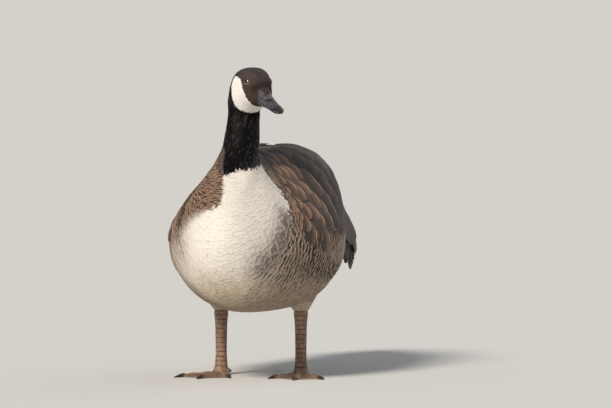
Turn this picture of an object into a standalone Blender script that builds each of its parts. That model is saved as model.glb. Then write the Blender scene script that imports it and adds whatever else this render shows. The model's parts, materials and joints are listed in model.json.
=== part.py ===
"""A Canada goose, life size, standing still with its head turned towards its left.

The goose faces -Y with its left side at +X and Z up. Every size below is in millimetres: x across,
s back from the front of the breast along the body, z up from the floor. The origin lies on the
floor, half way between the front of the breast and the tip of the tail.
"""
import math

import bmesh
import bpy
import numpy as np

MM = 0.001
GAP = 0.3                   # space between pieces that touch
TAIL_TIP = 590.0            # s of the tip of the tail
ORIGIN_S = TAIL_TIP / 2

# The head: the eye is the origin of its own axes, f forward, l to the left, u up
EYE_S, EYE_Z = 87.0, 391.5
PITCH = math.radians(13)
HEAD_YAW = math.radians(39.5)
YAW_AXIS_S = 112.0          # the neck turns about this upright line
NECK_LEAN = 3.4             # how far the neck stands to the left of the body's middle
HEAD_SHIFT = 9.8            # and how much further the head does
SHIFT_LOW, SHIFT_HIGH = 308.0, 358.0    # heights between which that shift grows
TWIST_LOW, TWIST_HIGH = 284.0, 343.0    # heights between which the neck turns
JOIN_START, JOIN_END = 10.5, 16.0       # rings over which the neck frees itself from the body

# Rings of the body from tail to throat: top (s, z), bottom (s, z), half width, how much the upper
# half narrows, and the squareness of the upper and lower halves
BODY_RINGS = [
    (508, 184, 508, 160, 22, 0.00, 2.0, 2.0),
    (482, 199, 479, 153, 36, 0.00, 2.0, 2.0),
    (450, 219, 443, 141, 50, 0.05, 2.0, 2.2),
    (400, 258, 395, 124, 68, 0.10, 2.1, 2.4),
    (350, 284, 345, 106, 86, 0.12, 2.2, 2.8),
    (300, 297, 290, 95, 98, 0.18, 2.3, 2.8),
    (255, 301, 235, 88, 107, 0.28, 2.3, 2.6),
    (215, 301, 180, 87, 108, 0.44, 2.2, 2.15),
    (190, 302, 125, 91, 104, 0.50, 2.1, 2.0),
    (173, 303, 80, 103, 96, 0.52, 2.0, 2.0),
    (161, 305, 43, 122, 84.5, 0.50, 2.0, 2.0),
    (152, 308, 15, 150, 69, 0.50, 2.0, 2.0),
    (146, 312, 1, 184, 52, 0.42, 2.0, 2.0),
    (142, 317, 6, 218, 36, 0.18, 2.0, 2.0),
    (140, 323, 26, 246, 27.5, 0.02, 2.0, 2.0),
    (139.5, 330, 51, 269, 24.2, 0.0, 2.0, 2.0),
    (139.5, 338, 72, 290, 23.4, 0.0, 2.0, 2.0),
    (140.5, 346, 86, 309, 22.5, 0.0, 2.0, 2.0),
    (143, 354, 96, 328, 21.6, 0.0, 2.0, 2.0),
]
# Rings of the head in its own axes: top (f, u), bottom (f, u), then as above
HEAD_RINGS = [
    (-52, -35, -7, -45, 21.1, 0.00, 2.0, 2.0),
    (-52, -26, -5, -43.5, 21.3, 0.00, 2.0, 2.0),
    (-50, -17, -1.5, -41, 22.2, 0.00, 2.05, 2.0),
    (-45.5, -7.7, 2, -38, 23.2, 0.00, 2.2, 2.0),
    (-38.8, 2.2, 6, -35, 23.8, 0.00, 2.45, 2.0),
    (-30, 9.7, 9.5, -32.5, 23.6, 0.00, 2.7, 2.0),
    (-19.5, 15, 12.5, -31, 22.7, 0.00, 2.75, 2.0),
    (-8, 17, 15, -29.5, 20.9, 0.00, 2.7, 2.1),
    (3, 15.6, 17.5, -28, 18.1, 0.00, 2.5, 2.1),
    (12, 11.2, 20, -27, 15.4, 0.00, 2.3, 2.1),
    (19.5, 5.2, 22.3, -25.5, 13.8, 0.00, 2.1, 2.1),
    (24, -0.6, 24, -24, 12.7, 0.00, 2.1, 2.1),
]
NECK_T = 15.0               # the black neck starts at this ring
HEAD_T = 19.5               # and the head at this one
LAST_T = len(BODY_RINGS) + len(HEAD_RINGS) - 1.0
TORSO_STEPS = 19
NECK_STEPS, HEAD_STEPS = 8, 18
TORSO_SEGMENTS, NECK_SEGMENTS, HEAD_SEGMENTS = 34, 26, 26

# Rings of the surface that the folded wings lie in, from their tips to the shoulder
WING_RINGS = [
    (556, 146, 556, 98, 50, 0.25, 2.0, 2.0),
    (520, 184, 520, 104, 60, 0.40, 2.0, 2.2),
    (478, 232, 470, 112, 73.5, 0.45, 2.2, 2.3),
    (440, 262, 432, 118, 77, 0.34, 2.4, 2.4),
    (395, 288, 388, 118, 81, 0.22, 2.6, 2.4),
    (350, 301, 342, 106, 90, 0.14, 2.8, 2.5),
    (300, 306, 288, 92, 100, 0.14, 2.7, 2.5),
    (255, 305, 235, 85, 109, 0.24, 2.4, 2.4),
    (216, 304, 179, 82, 112, 0.40, 2.2, 2.3),
    (190, 304, 123, 87, 108, 0.48, 2.1, 2.2),
    (173, 305, 78, 100, 99, 0.50, 2.0, 2.2),
    (161, 306, 43, 121, 85.5, 0.50, 2.0, 2.0),
    (152, 308, 16, 150, 68, 0.50, 2.0, 2.0),
]
WING_FRONT, WING_BACK = 0.07, 0.935     # where the wing's core starts and ends along the wing
WING_TOP = [(0.0, 34), (0.15, 26), (0.3, 15), (0.62, 14), (0.81, 27), (0.91, 70), (1.0, 82)]
WING_LOW = [(0.0, 100), (0.18, 101), (0.33, 100), (0.5, 104), (0.67, 109), (0.83, 106), (1.0, 95)]
CORE_DEPTH, CORE_FRONT, CORE_TAIL = 3.0, 17.0, 5.0

# The tiers of the wing, front to back: place of the roots along the wing, number, first and last
# place across it, length, half width, rise of the tips
WING_TIERS = [
    (0.10, 4, 0.16, 0.80, 62, 18.5, 1.4),
    (0.20, 4, 0.12, 0.78, 66, 20.5, 1.8),
    (0.30, 5, 0.10, 0.86, 69, 19.5, 2.2),
    (0.41, 5, 0.09, 0.85, 74, 20.5, 2.6),
    (0.52, 5, 0.10, 0.84, 79, 20.5, 2.9),
    (0.62, 4, 0.12, 0.74, 84, 20.5, 3.1),
]
TERTIALS = (0.71, 4, 0.12, 0.74, 122, 20, 2.6)
PRIMARIES = (0.72, 4, 0.76, 0.99, 132, 10, 1.4)
VANE_THICK, VANE_KEEL, ROOT_DEPTH, VANE_TILT = 0.75, 0.5, 6.0, 1.0

TAIL_SIDE_VANES = 6         # feathers of the tail on each side of the middle one
TAIL_ROOT_S, TAIL_ROOT_Z = 456.0, 184.0
TAIL_SPREAD = math.radians(13)
TAIL_DROOP = math.radians(7)
TAIL_WIDTH, TAIL_STEP = 11.0, 1.4
TAIL_CORE = [(462, 18, 13), (490, 21, 11), (512, 22, 8)]        # s, half width and half height
TAIL_CORE_LOW = 5.0         # the core's middle lies this far under the fan

EYE_AT = np.array([4.4, 14.2, 0.8])     # middle of the left eyeball, forward, left and up
EYE_R = 5.6
EYE_LOOK = np.array([0.376, 0.855, 0.359])      # the way the left eye looks out of the head
LID_R, LID_THICK, LID_OUT = 4.4, 1.05, 3.9
LID_LONG, LID_HIGH = 1.06, 0.9          # the opening of the lids is longer than it is high
LID_TURNS, LID_SIDES = 16, 5

BILL_TOP = [(24, -1.2), (33, -5), (42, -9.5), (52, -13), (62, -15.2), (70, -17), (75, -19.5), (77, -22)]
BILL_EDGE = [(24, -18.4), (36, -19), (50, -19.3), (62, -20), (70, -21.2), (77, -23)]
BILL_HALF = [(24, 12.7), (33, 12.2), (42, 11.1), (52, 10.0), (62, 9.4), (70, 8.4), (75, 5.6), (77, 2.0)]
BILL_CHIN = [(24, -24.6), (38, -24.6), (55, -23.4), (66, -23.4), (72, -23.8), (75, -24)]
UPPER_AT = np.array([24.3, 29, 34, 40, 47, 54, 61, 67, 72, 75, 77])
LOWER_AT = np.array([24.3, 32, 41, 51, 61, 68, 72, 74.5])
PALATE_AT = np.array([23.0, 32, 41, 51, 61, 68, 72, 78])    # longer than the lower half at both ends
BILL_LIP = 0.9              # how far the lower half lies inside the upper one
NOSTRIL_AT = (45.0, 6.3, -12.0)
NOSTRIL_SIZE = (5.0, 3.0, 1.6)

NAIL_AT, NAIL_SIZE = (72.8, 0.0, -20.2), (4.4, 4.4, 2.7)

LEG_X, LEG_S = 54.0, 240.0
# Rings of the drumstick: height, half width and half depth
THIGH = [(88, 11, 13), (93, 15, 18), (100, 20, 25), (108, 23, 30), (120, 24, 32)]
THIGH_SLOPE = 0.12          # how far the drumstick leans forward for each millimetre up
TARSUS = [(87.7, 8.6, 9.4), (84, 9.4, 10.6), (79, 9.2, 10.4), (73, 8.3, 9.4), (62, 7.8, 8.6),
          (45, 7.5, 8.3), (28, 7.3, 8.1), (18, 7.9, 8.8), (10.3, 8.6, 9.4)]
SCUTES, SCUTE_LOW, SCUTE_HIGH = 8, 17.0, 70.0
SCUTE_ROUND = (math.radians(205), math.radians(335))    # the part of the leg that the scutes cover
SCUTE_PROFILE = [(-0.42, 0.1), (0.0, 0.85), (0.42, 0.1)]        # share of their pitch, height
SCUTE_DEEP = 1.6
TOES = [(-33, 60, 4.4), (-2, 78, 5.0), (27, 70, 4.6)]     # angle, length and half width of each toe
FOOT_TURN = math.radians(9)
FOOT_BACK = 4.0             # the rays of the foot start this far in front of the leg
WEB_THICK, TOE_HIGH, FOOT_MIDDLE = 2.2, 4.6, 8.0
WEB_ANGLES = np.array([-36, -33, -28, -21, -13, -6, -2, 2, 8, 15, 21, 27, 30.5])
WEB_SPREAD = np.array([0.0, 0.22, 0.42, 0.62, 0.80, 0.93, 1.0])
HEEL = [(0.0, 9.5), (3.5, 11.0), (7.0, 10.0), (10.0, 8.6)]      # height and half width
CLAW = [(-8, 3.2, 5.6), (0, 2.9, 5.0), (6, 1.9, 3.2), (11, 0.6, 1.0)]   # past the toe, half width, height
HIND_TOE = [(5, 5.6, 3.6), (12, 6.2, 3.4), (19, 5.2, 3.0), (24, 3.8, 2.1), (28, 2.2, 0.8)]
SEED = 11
FLAT = math.radians(0.6)     # faces that turn less than this are made one again after a union

COLOURS = {
    "torso": (0.52, 0.46, 0.38, 0.8), "neck": (0.02, 0.018, 0.017, 0.7),
    "head": (0.03, 0.027, 0.025, 0.7), "wing": (0.16, 0.115, 0.08, 0.75),
    "tail": (0.025, 0.022, 0.02, 0.7), "thigh": (0.42, 0.37, 0.3, 0.8),
    "leg": (0.06, 0.045, 0.04, 0.5), "foot": (0.055, 0.045, 0.042, 0.5),
    "bill": (0.03, 0.03, 0.033, 0.35), "eye": (0.012, 0.008, 0.006, 0.1),
}


def head_axes(f, u):
    """Turn forward and up distances from the eye into s and z, by the pitch of the head."""
    ahead = f * math.cos(PITCH) + u * math.sin(PITCH)
    above = u * math.cos(PITCH) - f * math.sin(PITCH)
    return EYE_S - ahead, EYE_Z + above


def all_rings():
    rows = [list(row) for row in BODY_RINGS]
    for ft, ut, fb, ub, half, pear, top, low in HEAD_RINGS:
        rows.append([*head_axes(ft, ut), *head_axes(fb, ub), half, pear, top, low])
    return np.array(rows, float)


def between(rows, t):
    """Catmull-Rom curve through the rows of a table, read at the places t."""
    rows = np.asarray(rows, float)
    ends = np.vstack([2 * rows[0] - rows[1], rows, 2 * rows[-1] - rows[-2]])
    i = np.clip(np.floor(t).astype(int), 0, len(rows) - 2)
    f = (t - i)[..., None]
    a, b, c, d = ends[i], ends[i + 1], ends[i + 2], ends[i + 3]
    return 0.5 * (2 * b + (c - a) * f + (2 * a - 5 * b + 4 * c - d) * f**2 + (3 * b - a - 3 * c + d) * f**3)


def ease(x, low, high):
    x = np.clip((x - low) / (high - low), 0, 1)
    return x * x * (3 - 2 * x)


def section(ring, v):
    """A ring's point at the angle v from its top: a superellipse whose upper half narrows."""
    st, zt, sb, zb, half, pear, top, low = np.moveaxis(ring, -1, 0)
    c, s = np.cos(v), np.sin(v)
    power = np.where(c > 0, top, low)
    reach = 1 / (np.abs(c)**power + np.abs(s)**power)**(1 / power)
    up = reach * c
    narrow = pear * (up + np.sqrt(up * up + 0.04)) / 2
    across = half * reach * s * (1 - narrow)
    return np.stack([across, (st + sb) / 2 + (st - sb) / 2 * up, (zt + zb) / 2 + (zt - zb) / 2 * up], -1)


def posed(p, t):
    """Twist the neck and head about the neck's upright line, more the further up the neck."""
    free = ease(t, JOIN_START, JOIN_END)
    a = HEAD_YAW * free * ease(p[..., 2], TWIST_LOW, TWIST_HIGH)
    x, s = p[..., 0], p[..., 1] - YAW_AXIS_S
    lean = free * (NECK_LEAN + HEAD_SHIFT * ease(p[..., 2], SHIFT_LOW, SHIFT_HIGH))
    return np.stack([x * np.cos(a) - s * np.sin(a) + lean,
                     x * np.sin(a) + s * np.cos(a) + YAW_AXIS_S, p[..., 2]], -1)


def body_surface(t, v):
    t, v = np.broadcast_arrays(np.asarray(t, float), np.asarray(v, float))
    return posed(section(between(all_rings(), t), v), t)


def table(pairs, x):
    pairs = np.array(pairs, float)
    return np.interp(x, pairs[:, 0], pairs[:, 1])


def wing_surface(a, b):
    """The left wing's outer face: a runs from the shoulder to the tips, b from back to belly."""
    a, b = np.broadcast_arrays(np.asarray(a, float), np.asarray(b, float))
    t = (len(WING_RINGS) - 1) * (1 - a)
    top, low = table(WING_TOP, a), table(WING_LOW, a)
    return section(between(WING_RINGS, t), np.radians(top + (low - top) * b))


def surface_frame(surface, a, b, step=0.004):
    """Point, both slopes and the outward normal of a surface of two parameters."""
    p = surface(a, b)
    pa = (surface(a + step, b) - surface(a - step, b)) / (2 * step)
    pb = (surface(a, b + step) - surface(a, b - step)) / (2 * step)
    n = np.cross(pb, pa)
    n /= np.linalg.norm(n, axis=-1, keepdims=True)
    return p, pa, pb, n


def to_world(p):
    q = np.asarray(p, float).reshape(-1, 3).copy()
    q[:, 1] -= ORIGIN_S
    return q * MM


def mesh_object(name, points, faces, collection):
    mesh = bpy.data.meshes.new(name)
    mesh.from_pydata(to_world(points).tolist(), [], faces)
    mesh.validate()
    bm = bmesh.new()
    bm.from_mesh(mesh)
    bmesh.ops.triangulate(bm, faces=bm.faces)
    bmesh.ops.recalc_face_normals(bm, faces=bm.faces)
    if bm.calc_volume(signed=True) < 0:
        bmesh.ops.reverse_faces(bm, faces=bm.faces)
    bm.to_mesh(mesh)
    bm.free()
    obj = bpy.data.objects.new(name, mesh)
    collection.objects.link(obj)
    return obj


def tube_faces(rings, around, start=0):
    """Quads between rings of points, and a fan over each end, round two extra centre points."""
    faces = []
    for i in range(rings - 1):
        for j in range(around):
            k = (j + 1) % around
            faces.append([start + i * around + j, start + i * around + k,
                          start + (i + 1) * around + k, start + (i + 1) * around + j])
    first, last = start + rings * around, start + rings * around + 1
    for j in range(around):
        k = (j + 1) % around
        faces.append([first, start + k, start + j])
        faces.append([last, start + (rings - 1) * around + j, start + (rings - 1) * around + k])
    return faces


def loft(name, rings, collection):
    rings = np.asarray(rings, float)
    points = np.vstack([rings.reshape(-1, 3), rings[0].mean(0), rings[-1].mean(0)])
    return mesh_object(name, points, tube_faces(rings.shape[0], rings.shape[1]), collection)


def ring_shift(ring, toward, distance):
    """Move a flat ring along its own normal, to the side where the point toward lies."""
    centre = ring.mean(0)
    n = np.cross(ring[len(ring) // 4] - centre, ring[0] - centre)
    n /= np.linalg.norm(n)
    if np.dot(toward - centre, n) < 0:
        n = -n
    return ring + n * distance


def body_in_range(t, v):
    return body_surface(np.clip(t, 0, LAST_T), v)


def body_length(name, start, end, steps, segments, collection, inflate=0.0):
    """One length of the body between two rings, its ends flat, with a gap at the start."""
    v = np.linspace(0, 2 * math.pi, segments, endpoint=False)
    t = np.linspace(start, end, steps)
    rings = body_surface(t[:, None], v[None, :])
    if inflate:
        _, _, _, n = surface_frame(body_in_range, t[:, None], v[None, :])
        outward = np.sign(np.sum(n * (rings - rings.mean(1, keepdims=True)), -1, keepdims=True))
        rings = rings + n * outward * inflate
        rings[0] = ring_shift(rings[0], rings[1].mean(0), -inflate)
        rings[-1] = ring_shift(rings[-1], rings[-2].mean(0), -inflate)
    elif start > 0:
        rings[0] = ring_shift(rings[0], rings[1].mean(0), GAP)
    return loft(name, rings, collection)


def boolean(obj, operation, operand, solver="MANIFOLD"):
    """Apply one Boolean with an object or a whole collection, then remove what it used."""
    mod = obj.modifiers.new("boolean", "BOOLEAN")
    mod.operation = operation
    mod.solver = solver
    if isinstance(operand, bpy.types.Collection):
        mod.operand_type = "COLLECTION"
        mod.collection = operand
        used = list(operand.objects)
    else:
        mod.object = operand
        used = [operand]
    graph = bpy.context.evaluated_depsgraph_get()
    mesh = bpy.data.meshes.new_from_object(obj.evaluated_get(graph))
    obj.modifiers.clear()
    obj.data = mesh
    for other in used:
        bpy.data.objects.remove(other)
    if isinstance(operand, bpy.types.Collection):
        bpy.data.collections.remove(operand)


def keep_largest(obj):
    """Keep the closed surface with the most space inside, and drop scraps and sealed hollows."""
    bm = bmesh.new()
    bm.from_mesh(obj.data)
    bmesh.ops.triangulate(bm, faces=bm.faces)
    bmesh.ops.dissolve_degenerate(bm, dist=2e-6, edges=bm.edges)
    bmesh.ops.dissolve_limit(bm, angle_limit=FLAT, verts=bm.verts, edges=bm.edges)
    bmesh.ops.triangulate(bm, faces=bm.faces)
    seen, groups = set(), []
    for face in bm.faces:
        if face in seen:
            continue
        stack, group = [face], []
        seen.add(face)
        while stack:
            here = stack.pop()
            group.append(here)
            for edge in here.edges:
                for near in edge.link_faces:
                    if near not in seen:
                        seen.add(near)
                        stack.append(near)
        groups.append(group)

    def held(group):
        return sum(f.verts[0].co.dot(f.verts[1].co.cross(f.verts[2].co)) for f in group)
    groups.sort(key=held)
    drop = [face for group in groups[:-1] for face in group]
    bmesh.ops.delete(bm, geom=drop, context="FACES")
    loose = [vert for vert in bm.verts if not vert.link_faces]
    bmesh.ops.delete(bm, geom=loose, context="VERTS")
    bm.to_mesh(obj.data)
    bm.free()


def new_collection(name):
    made = bpy.data.collections.new(name)
    bpy.context.scene.collection.children.link(made)
    return made


def finish(obj, colour, mirror=False):
    """Give a node its material, and mirror it in X where it is made from its left twin."""
    if mirror:
        bm = bmesh.new()
        bm.from_mesh(obj.data)
        bmesh.ops.scale(bm, vec=(-1, 1, 1), verts=bm.verts)
        bmesh.ops.reverse_faces(bm, faces=bm.faces)
        bm.to_mesh(obj.data)
        bm.free()
    red_green_blue, rough = COLOURS[colour][:3], COLOURS[colour][3]
    mat = bpy.data.materials.get(colour) or bpy.data.materials.new(colour)
    mat.use_nodes = True
    shader = mat.node_tree.nodes["Principled BSDF"]
    shader.inputs["Base Color"].default_value = (*red_green_blue, 1)
    shader.inputs["Roughness"].default_value = rough
    obj.data.materials.clear()
    obj.data.materials.append(mat)
    obj.data.shade_smooth()
    obj.data.set_sharp_from_angle(angle=math.radians(40))


def copy_of(obj, name, collection):
    twin = bpy.data.objects.new(name, obj.data.copy())
    collection.objects.link(twin)
    return twin


def vane(name, surface, root, tip, half, rise, collection, shape=(0.4, 0.95, 0.8, 0.2), tilt=0.0):
    """One feather: a thin leaf laid along a surface from root to tip, keeled along its shaft."""
    along = np.array([0.0, 0.42, 0.82, 1.0])
    a = root[0] + (tip[0] - root[0]) * along
    b = root[1] + (tip[1] - root[1]) * along
    p, pa, pb, n = surface_frame(surface, a, b)
    run = pa * (tip[0] - root[0]) + pb * (tip[1] - root[1])
    side = np.cross(n, run)
    side /= np.linalg.norm(side, axis=-1, keepdims=True)
    lift = -ROOT_DEPTH + (ROOT_DEPTH + rise) * along**0.35
    points = []
    for k in range(4):
        slopes = np.stack([pa[k], pb[k]], 1)
        turn = np.linalg.lstsq(slopes, side[k] * half * shape[k], rcond=None)[0]
        left, _, _, nl = surface_frame(surface, a[k] - turn[0], b[k] - turn[1])
        right, _, _, nr = surface_frame(surface, a[k] + turn[0], b[k] + turn[1])
        keel = VANE_KEEL * (1 - 0.5 * along[k])
        top = [left + nl * (lift[k] + tilt), p[k] + n[k] * (lift[k] + keel), right + nr * (lift[k] - tilt)]
        low = [left + nl * (lift[k] + tilt - VANE_THICK), p[k] + n[k] * (lift[k] + keel - VANE_THICK),
               right + nr * (lift[k] - tilt - VANE_THICK)]
        points += top + low
    faces = []
    for k in range(3):
        i, j = 6 * k, 6 * (k + 1)
        for m, flip in ((0, False), (1, True)):
            quad = [(i + m, i + m + 1), (j + m, j + m + 1)]
            under = [(i + m + 3, i + m + 4), (j + m + 3, j + m + 4)]
            for (p0, p1), (q0, q1) in (quad, under):
                faces += [[p0, p1, q0], [p1, q1, q0]] if flip else [[p0, p1, q1], [p0, q1, q0]]
        faces += [[i, j, j + 3], [i, j + 3, i + 3], [i + 2, i + 5, j + 5], [i + 2, j + 5, j + 2]]
    for i in (0, 18):
        faces += [[i, i + 3, i + 4], [i, i + 4, i + 1], [i + 1, i + 4, i + 5], [i + 1, i + 5, i + 2]]
    return mesh_object(name, np.array(points), faces, collection)


def wing_core(collection):
    """The closed slab under the wing's feathers, as thick in front as reaches the body."""
    a = np.linspace(WING_FRONT, WING_BACK, 11)
    b = np.linspace(0.03, 0.97, 7)
    grid_a, grid_b = np.meshgrid(a, b, indexing="ij")
    p, _, _, n = surface_frame(wing_surface, grid_a, grid_b)
    thick = CORE_FRONT + (CORE_TAIL - CORE_FRONT) * ease(grid_a, 0.55, 0.78)
    outer = p - n * CORE_DEPTH
    inner = p - n * (CORE_DEPTH + thick)[..., None]
    rows = np.concatenate([outer, inner[:, ::-1]], 1)
    return loft("wing_core", rows, collection)


def step_along(a, b, length):
    """How far along the wing a feather of this length reaches from its root."""
    _, pa, _, _ = surface_frame(wing_surface, a, b)
    return length / np.linalg.norm(pa)


def wing_vanes(collection):
    rng = np.random.default_rng(SEED)
    for tier, (a, count, first, last, length, half, rise) in enumerate([*WING_TIERS, TERTIALS]):
        for i in range(count):
            b = first + (last - first) * (i + 0.5 * (tier % 2)) / (count - 0.5)
            long = length * rng.uniform(0.94, 1.05)
            drop = 0.05 + 0.05 * b
            end = min(a + step_along(a, b, long), 0.985)
            vane(f"covert_{tier}_{i}", wing_surface, (a, b), (end, min(b + drop, 1.0)), half, rise,
                 collection, tilt=VANE_TILT)
    a, count, first, last, length, half, rise = PRIMARIES
    for i in range(count):
        b = first + (last - first) * i / (count - 1)
        end = min(a + step_along(a, b, length * (0.9 + 0.1 * i / (count - 1))), 0.995)
        vane(f"primary_{i}", wing_surface, (a, b), (end, 0.6 + 0.12 * i), half, rise - 0.9 * i, collection,
             shape=(0.7, 1.0, 0.75, 0.15), tilt=VANE_TILT)


def make_wing(goose, scratch):
    wing = wing_core(goose)
    feathers = new_collection("wing_feathers")
    wing_vanes(feathers)
    boolean(wing, "UNION", feathers)
    wing.name = "wing_left"
    clear = body_length("clear", 0.0, NECK_T, TORSO_STEPS, TORSO_SEGMENTS, scratch, inflate=GAP)
    boolean(wing, "DIFFERENCE", clear)
    keep_largest(wing)
    return wing


def tail_surface(a, b):
    """The tail's fan: a runs from root to tip, b across it, with its sides curving down."""
    a, b = np.broadcast_arrays(np.asarray(a, float), np.asarray(b, float))
    angle = TAIL_SPREAD * b
    far = (TAIL_TIP - TAIL_ROOT_S) / math.cos(TAIL_DROOP) * a
    x = far * np.sin(angle) + 12 * b
    s = TAIL_ROOT_S + far * np.cos(angle) * math.cos(TAIL_DROOP)
    z = TAIL_ROOT_Z - far * math.sin(TAIL_DROOP) - 9 * b * b
    return np.stack([x, s, z], -1)


def make_tail(goose, scratch):
    count = TAIL_SIDE_VANES
    v = np.linspace(0, 2 * math.pi, 16, endpoint=False)
    rings = []
    for s, half, high in TAIL_CORE:
        z = TAIL_ROOT_Z - (s - TAIL_ROOT_S) * math.tan(TAIL_DROOP) - TAIL_CORE_LOW
        rings.append(np.stack([half * np.cos(v), np.full(16, float(s)), z + high * np.sin(v)], -1))
    tail = loft("tail", rings, goose)
    feathers = new_collection("tail_feathers")
    for i in range(-count, count + 1):
        b = i / count
        reach = 1.0 - 0.10 * b * b
        under = TAIL_STEP * abs(i)

        def surface(a, c, under=under):
            p = tail_surface(a, c)
            return p - np.array([0.0, 0.0, 1.0]) * under
        vane(f"rectrix_{i + count}", surface, (0.12, b * 0.9), (reach, b), TAIL_WIDTH, 0.0,
             feathers, shape=(0.5, 0.85, 1.0, 0.55))
    boolean(tail, "UNION", feathers)
    clear = body_length("clear", 0.0, NECK_T, TORSO_STEPS, TORSO_SEGMENTS, scratch, inflate=GAP)
    boolean(tail, "DIFFERENCE", clear)
    keep_largest(tail)
    return tail


def in_head(f, l, u):
    """Points given in the head's own axes, placed in the goose."""
    f, l, u = np.broadcast_arrays(np.asarray(f, float), np.asarray(l, float), np.asarray(u, float))
    s, z = head_axes(f, u)
    return posed(np.stack([l, s, z], -1), np.full(f.shape, LAST_T))


def ball(name, centre, radii, collection, rings=8, segments=14):
    """An ellipsoid in the head's own axes, with its poles at the sides."""
    lat = np.linspace(0, math.pi, rings + 1)[1:-1]
    lon = np.linspace(0, 2 * math.pi, segments, endpoint=False)
    f = centre[0] + radii[0] * np.sin(lat)[:, None] * np.cos(lon)
    u = centre[2] + radii[2] * np.sin(lat)[:, None] * np.sin(lon)
    l = centre[1] + radii[1] * np.cos(lat)[:, None] * np.ones(segments)
    rows = in_head(f, l, u)
    poles = in_head([centre[0]] * 2, [centre[1] + radii[1], centre[1] - radii[1]], [centre[2]] * 2)
    points = np.vstack([rows.reshape(-1, 3), poles])
    return mesh_object(name, points, tube_faces(rings - 1, segments), collection)


def eye_axes():
    """The way the left eye looks, and the two directions across it: along the lids and up."""
    look = EYE_LOOK / np.linalg.norm(EYE_LOOK)
    along = np.cross(look, [0.0, 0.0, 1.0])
    along /= np.linalg.norm(along)
    return look, along, np.cross(along, look)


def eyelids(name, side, collection):
    """The rim of both lids: an oval ring round the eye that stands out a little from the face."""
    look, along, up = eye_axes()
    turn = np.linspace(0, 2 * math.pi, LID_TURNS, endpoint=False)[:, None, None]
    round_ = np.linspace(0, 2 * math.pi, LID_SIDES, endpoint=False)[None, :, None]
    reach = LID_R + LID_THICK * np.cos(round_)
    out = LID_OUT + LID_THICK * np.sin(round_)
    points = (EYE_AT + along * reach * np.cos(turn) * LID_LONG + up * reach * np.sin(turn) * LID_HIGH
              + look * out)
    rows = in_head(points[..., 0], side * points[..., 1], points[..., 2])
    faces = []
    for i in range(LID_TURNS):
        for j in range(LID_SIDES):
            a, b = (i + 1) % LID_TURNS, (j + 1) % LID_SIDES
            faces.append([i * LID_SIDES + j, a * LID_SIDES + j, a * LID_SIDES + b, i * LID_SIDES + b])
    return mesh_object(name, rows.reshape(-1, 3), faces, collection)


def make_head(goose, scratch):
    head = body_length("head", HEAD_T, LAST_T, HEAD_STEPS, HEAD_SEGMENTS, goose)
    lids = new_collection("lids")
    for side in (1, -1):
        eyelids(f"lid_{side}", side, lids)
    boolean(head, "UNION", lids)
    for side, name in ((1, "eye_left"), (-1, "eye_right")):
        centre = EYE_AT * np.array([1, side, 1])
        ball(name, centre, (EYE_R,) * 3, goose)
        hollow = ball("socket", centre, (EYE_R + GAP,) * 3, scratch)
        boolean(head, "DIFFERENCE", hollow)
    keep_largest(head)
    return head


def bill_rings(stations, upper):
    """Cross sections of one half of the bill: a low arch over, or a shallow trough under, its edge."""
    turn = np.linspace(0, math.pi, 11)
    flat = np.array([-0.97, -0.4, 0.4, 0.97])
    rings = []
    for f in stations:
        half = table(BILL_HALF, f)
        edge = table(BILL_EDGE, f)
        if upper:
            start = edge + GAP
            rim, height = start + 1.0, table(BILL_TOP, f) - start - 1.0
            curve = rim + height * np.sin(turn)**0.8
        else:
            start = edge
            half = half - BILL_LIP
            rim, height = start - 0.8, table(BILL_CHIN, f) - start + 0.8
            curve = rim + height * np.sin(turn)**0.7
        l = half * np.concatenate([np.cos(turn), flat])
        u = np.concatenate([curve, np.full(len(flat), start)])
        rings.append(in_head(np.full(len(l), f), l, u))
    return np.array(rings)


def make_bill(goose, scratch):
    upper = loft("bill_upper", bill_rings(UPPER_AT, True), goose)
    nail = new_collection("nail")
    ball("nail_plate", NAIL_AT, NAIL_SIZE, nail, rings=6, segments=10)
    boolean(upper, "UNION", nail)
    for side in (1, -1):
        slot = ball("slot", np.array(NOSTRIL_AT) * np.array([1, side, 1]), NOSTRIL_SIZE, scratch, 7, 12)
        boolean(upper, "DIFFERENCE", slot)
    keep_largest(upper)
    lower = loft("bill_lower", bill_rings(LOWER_AT, False), goose)
    palate = loft("palate", bill_rings(PALATE_AT, True) - np.array([0, 0, GAP]), scratch)
    boolean(lower, "DIFFERENCE", palate)
    nail_clear = ball("nail_clear", NAIL_AT, [r + GAP for r in NAIL_SIZE], scratch, 6, 10)
    boolean(lower, "DIFFERENCE", nail_clear)
    keep_largest(lower)
    return upper, lower


def upright_ring(across, back, z, half, deep, sides):
    """An oval ring of points round an upright line, at one height."""
    v = np.linspace(0, 2 * math.pi, sides, endpoint=False)
    return np.stack([across + half * np.cos(v), back + deep * np.sin(v), np.full(sides, float(z))], -1)


def make_thigh(goose, scratch):
    """The feathered end of the drumstick, where the leg comes out of the flank."""
    rings = [upright_ring(LEG_X, LEG_S - THIGH_SLOPE * (z - THIGH[0][0]), z, half, deep, 20)
             for z, half, deep in THIGH]
    thigh = loft("thigh_left", rings, goose)
    clear = body_length("clear", 0.0, NECK_T, TORSO_STEPS, TORSO_SEGMENTS, scratch, inflate=GAP)
    boolean(thigh, "DIFFERENCE", clear)
    keep_largest(thigh)
    return thigh


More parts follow.
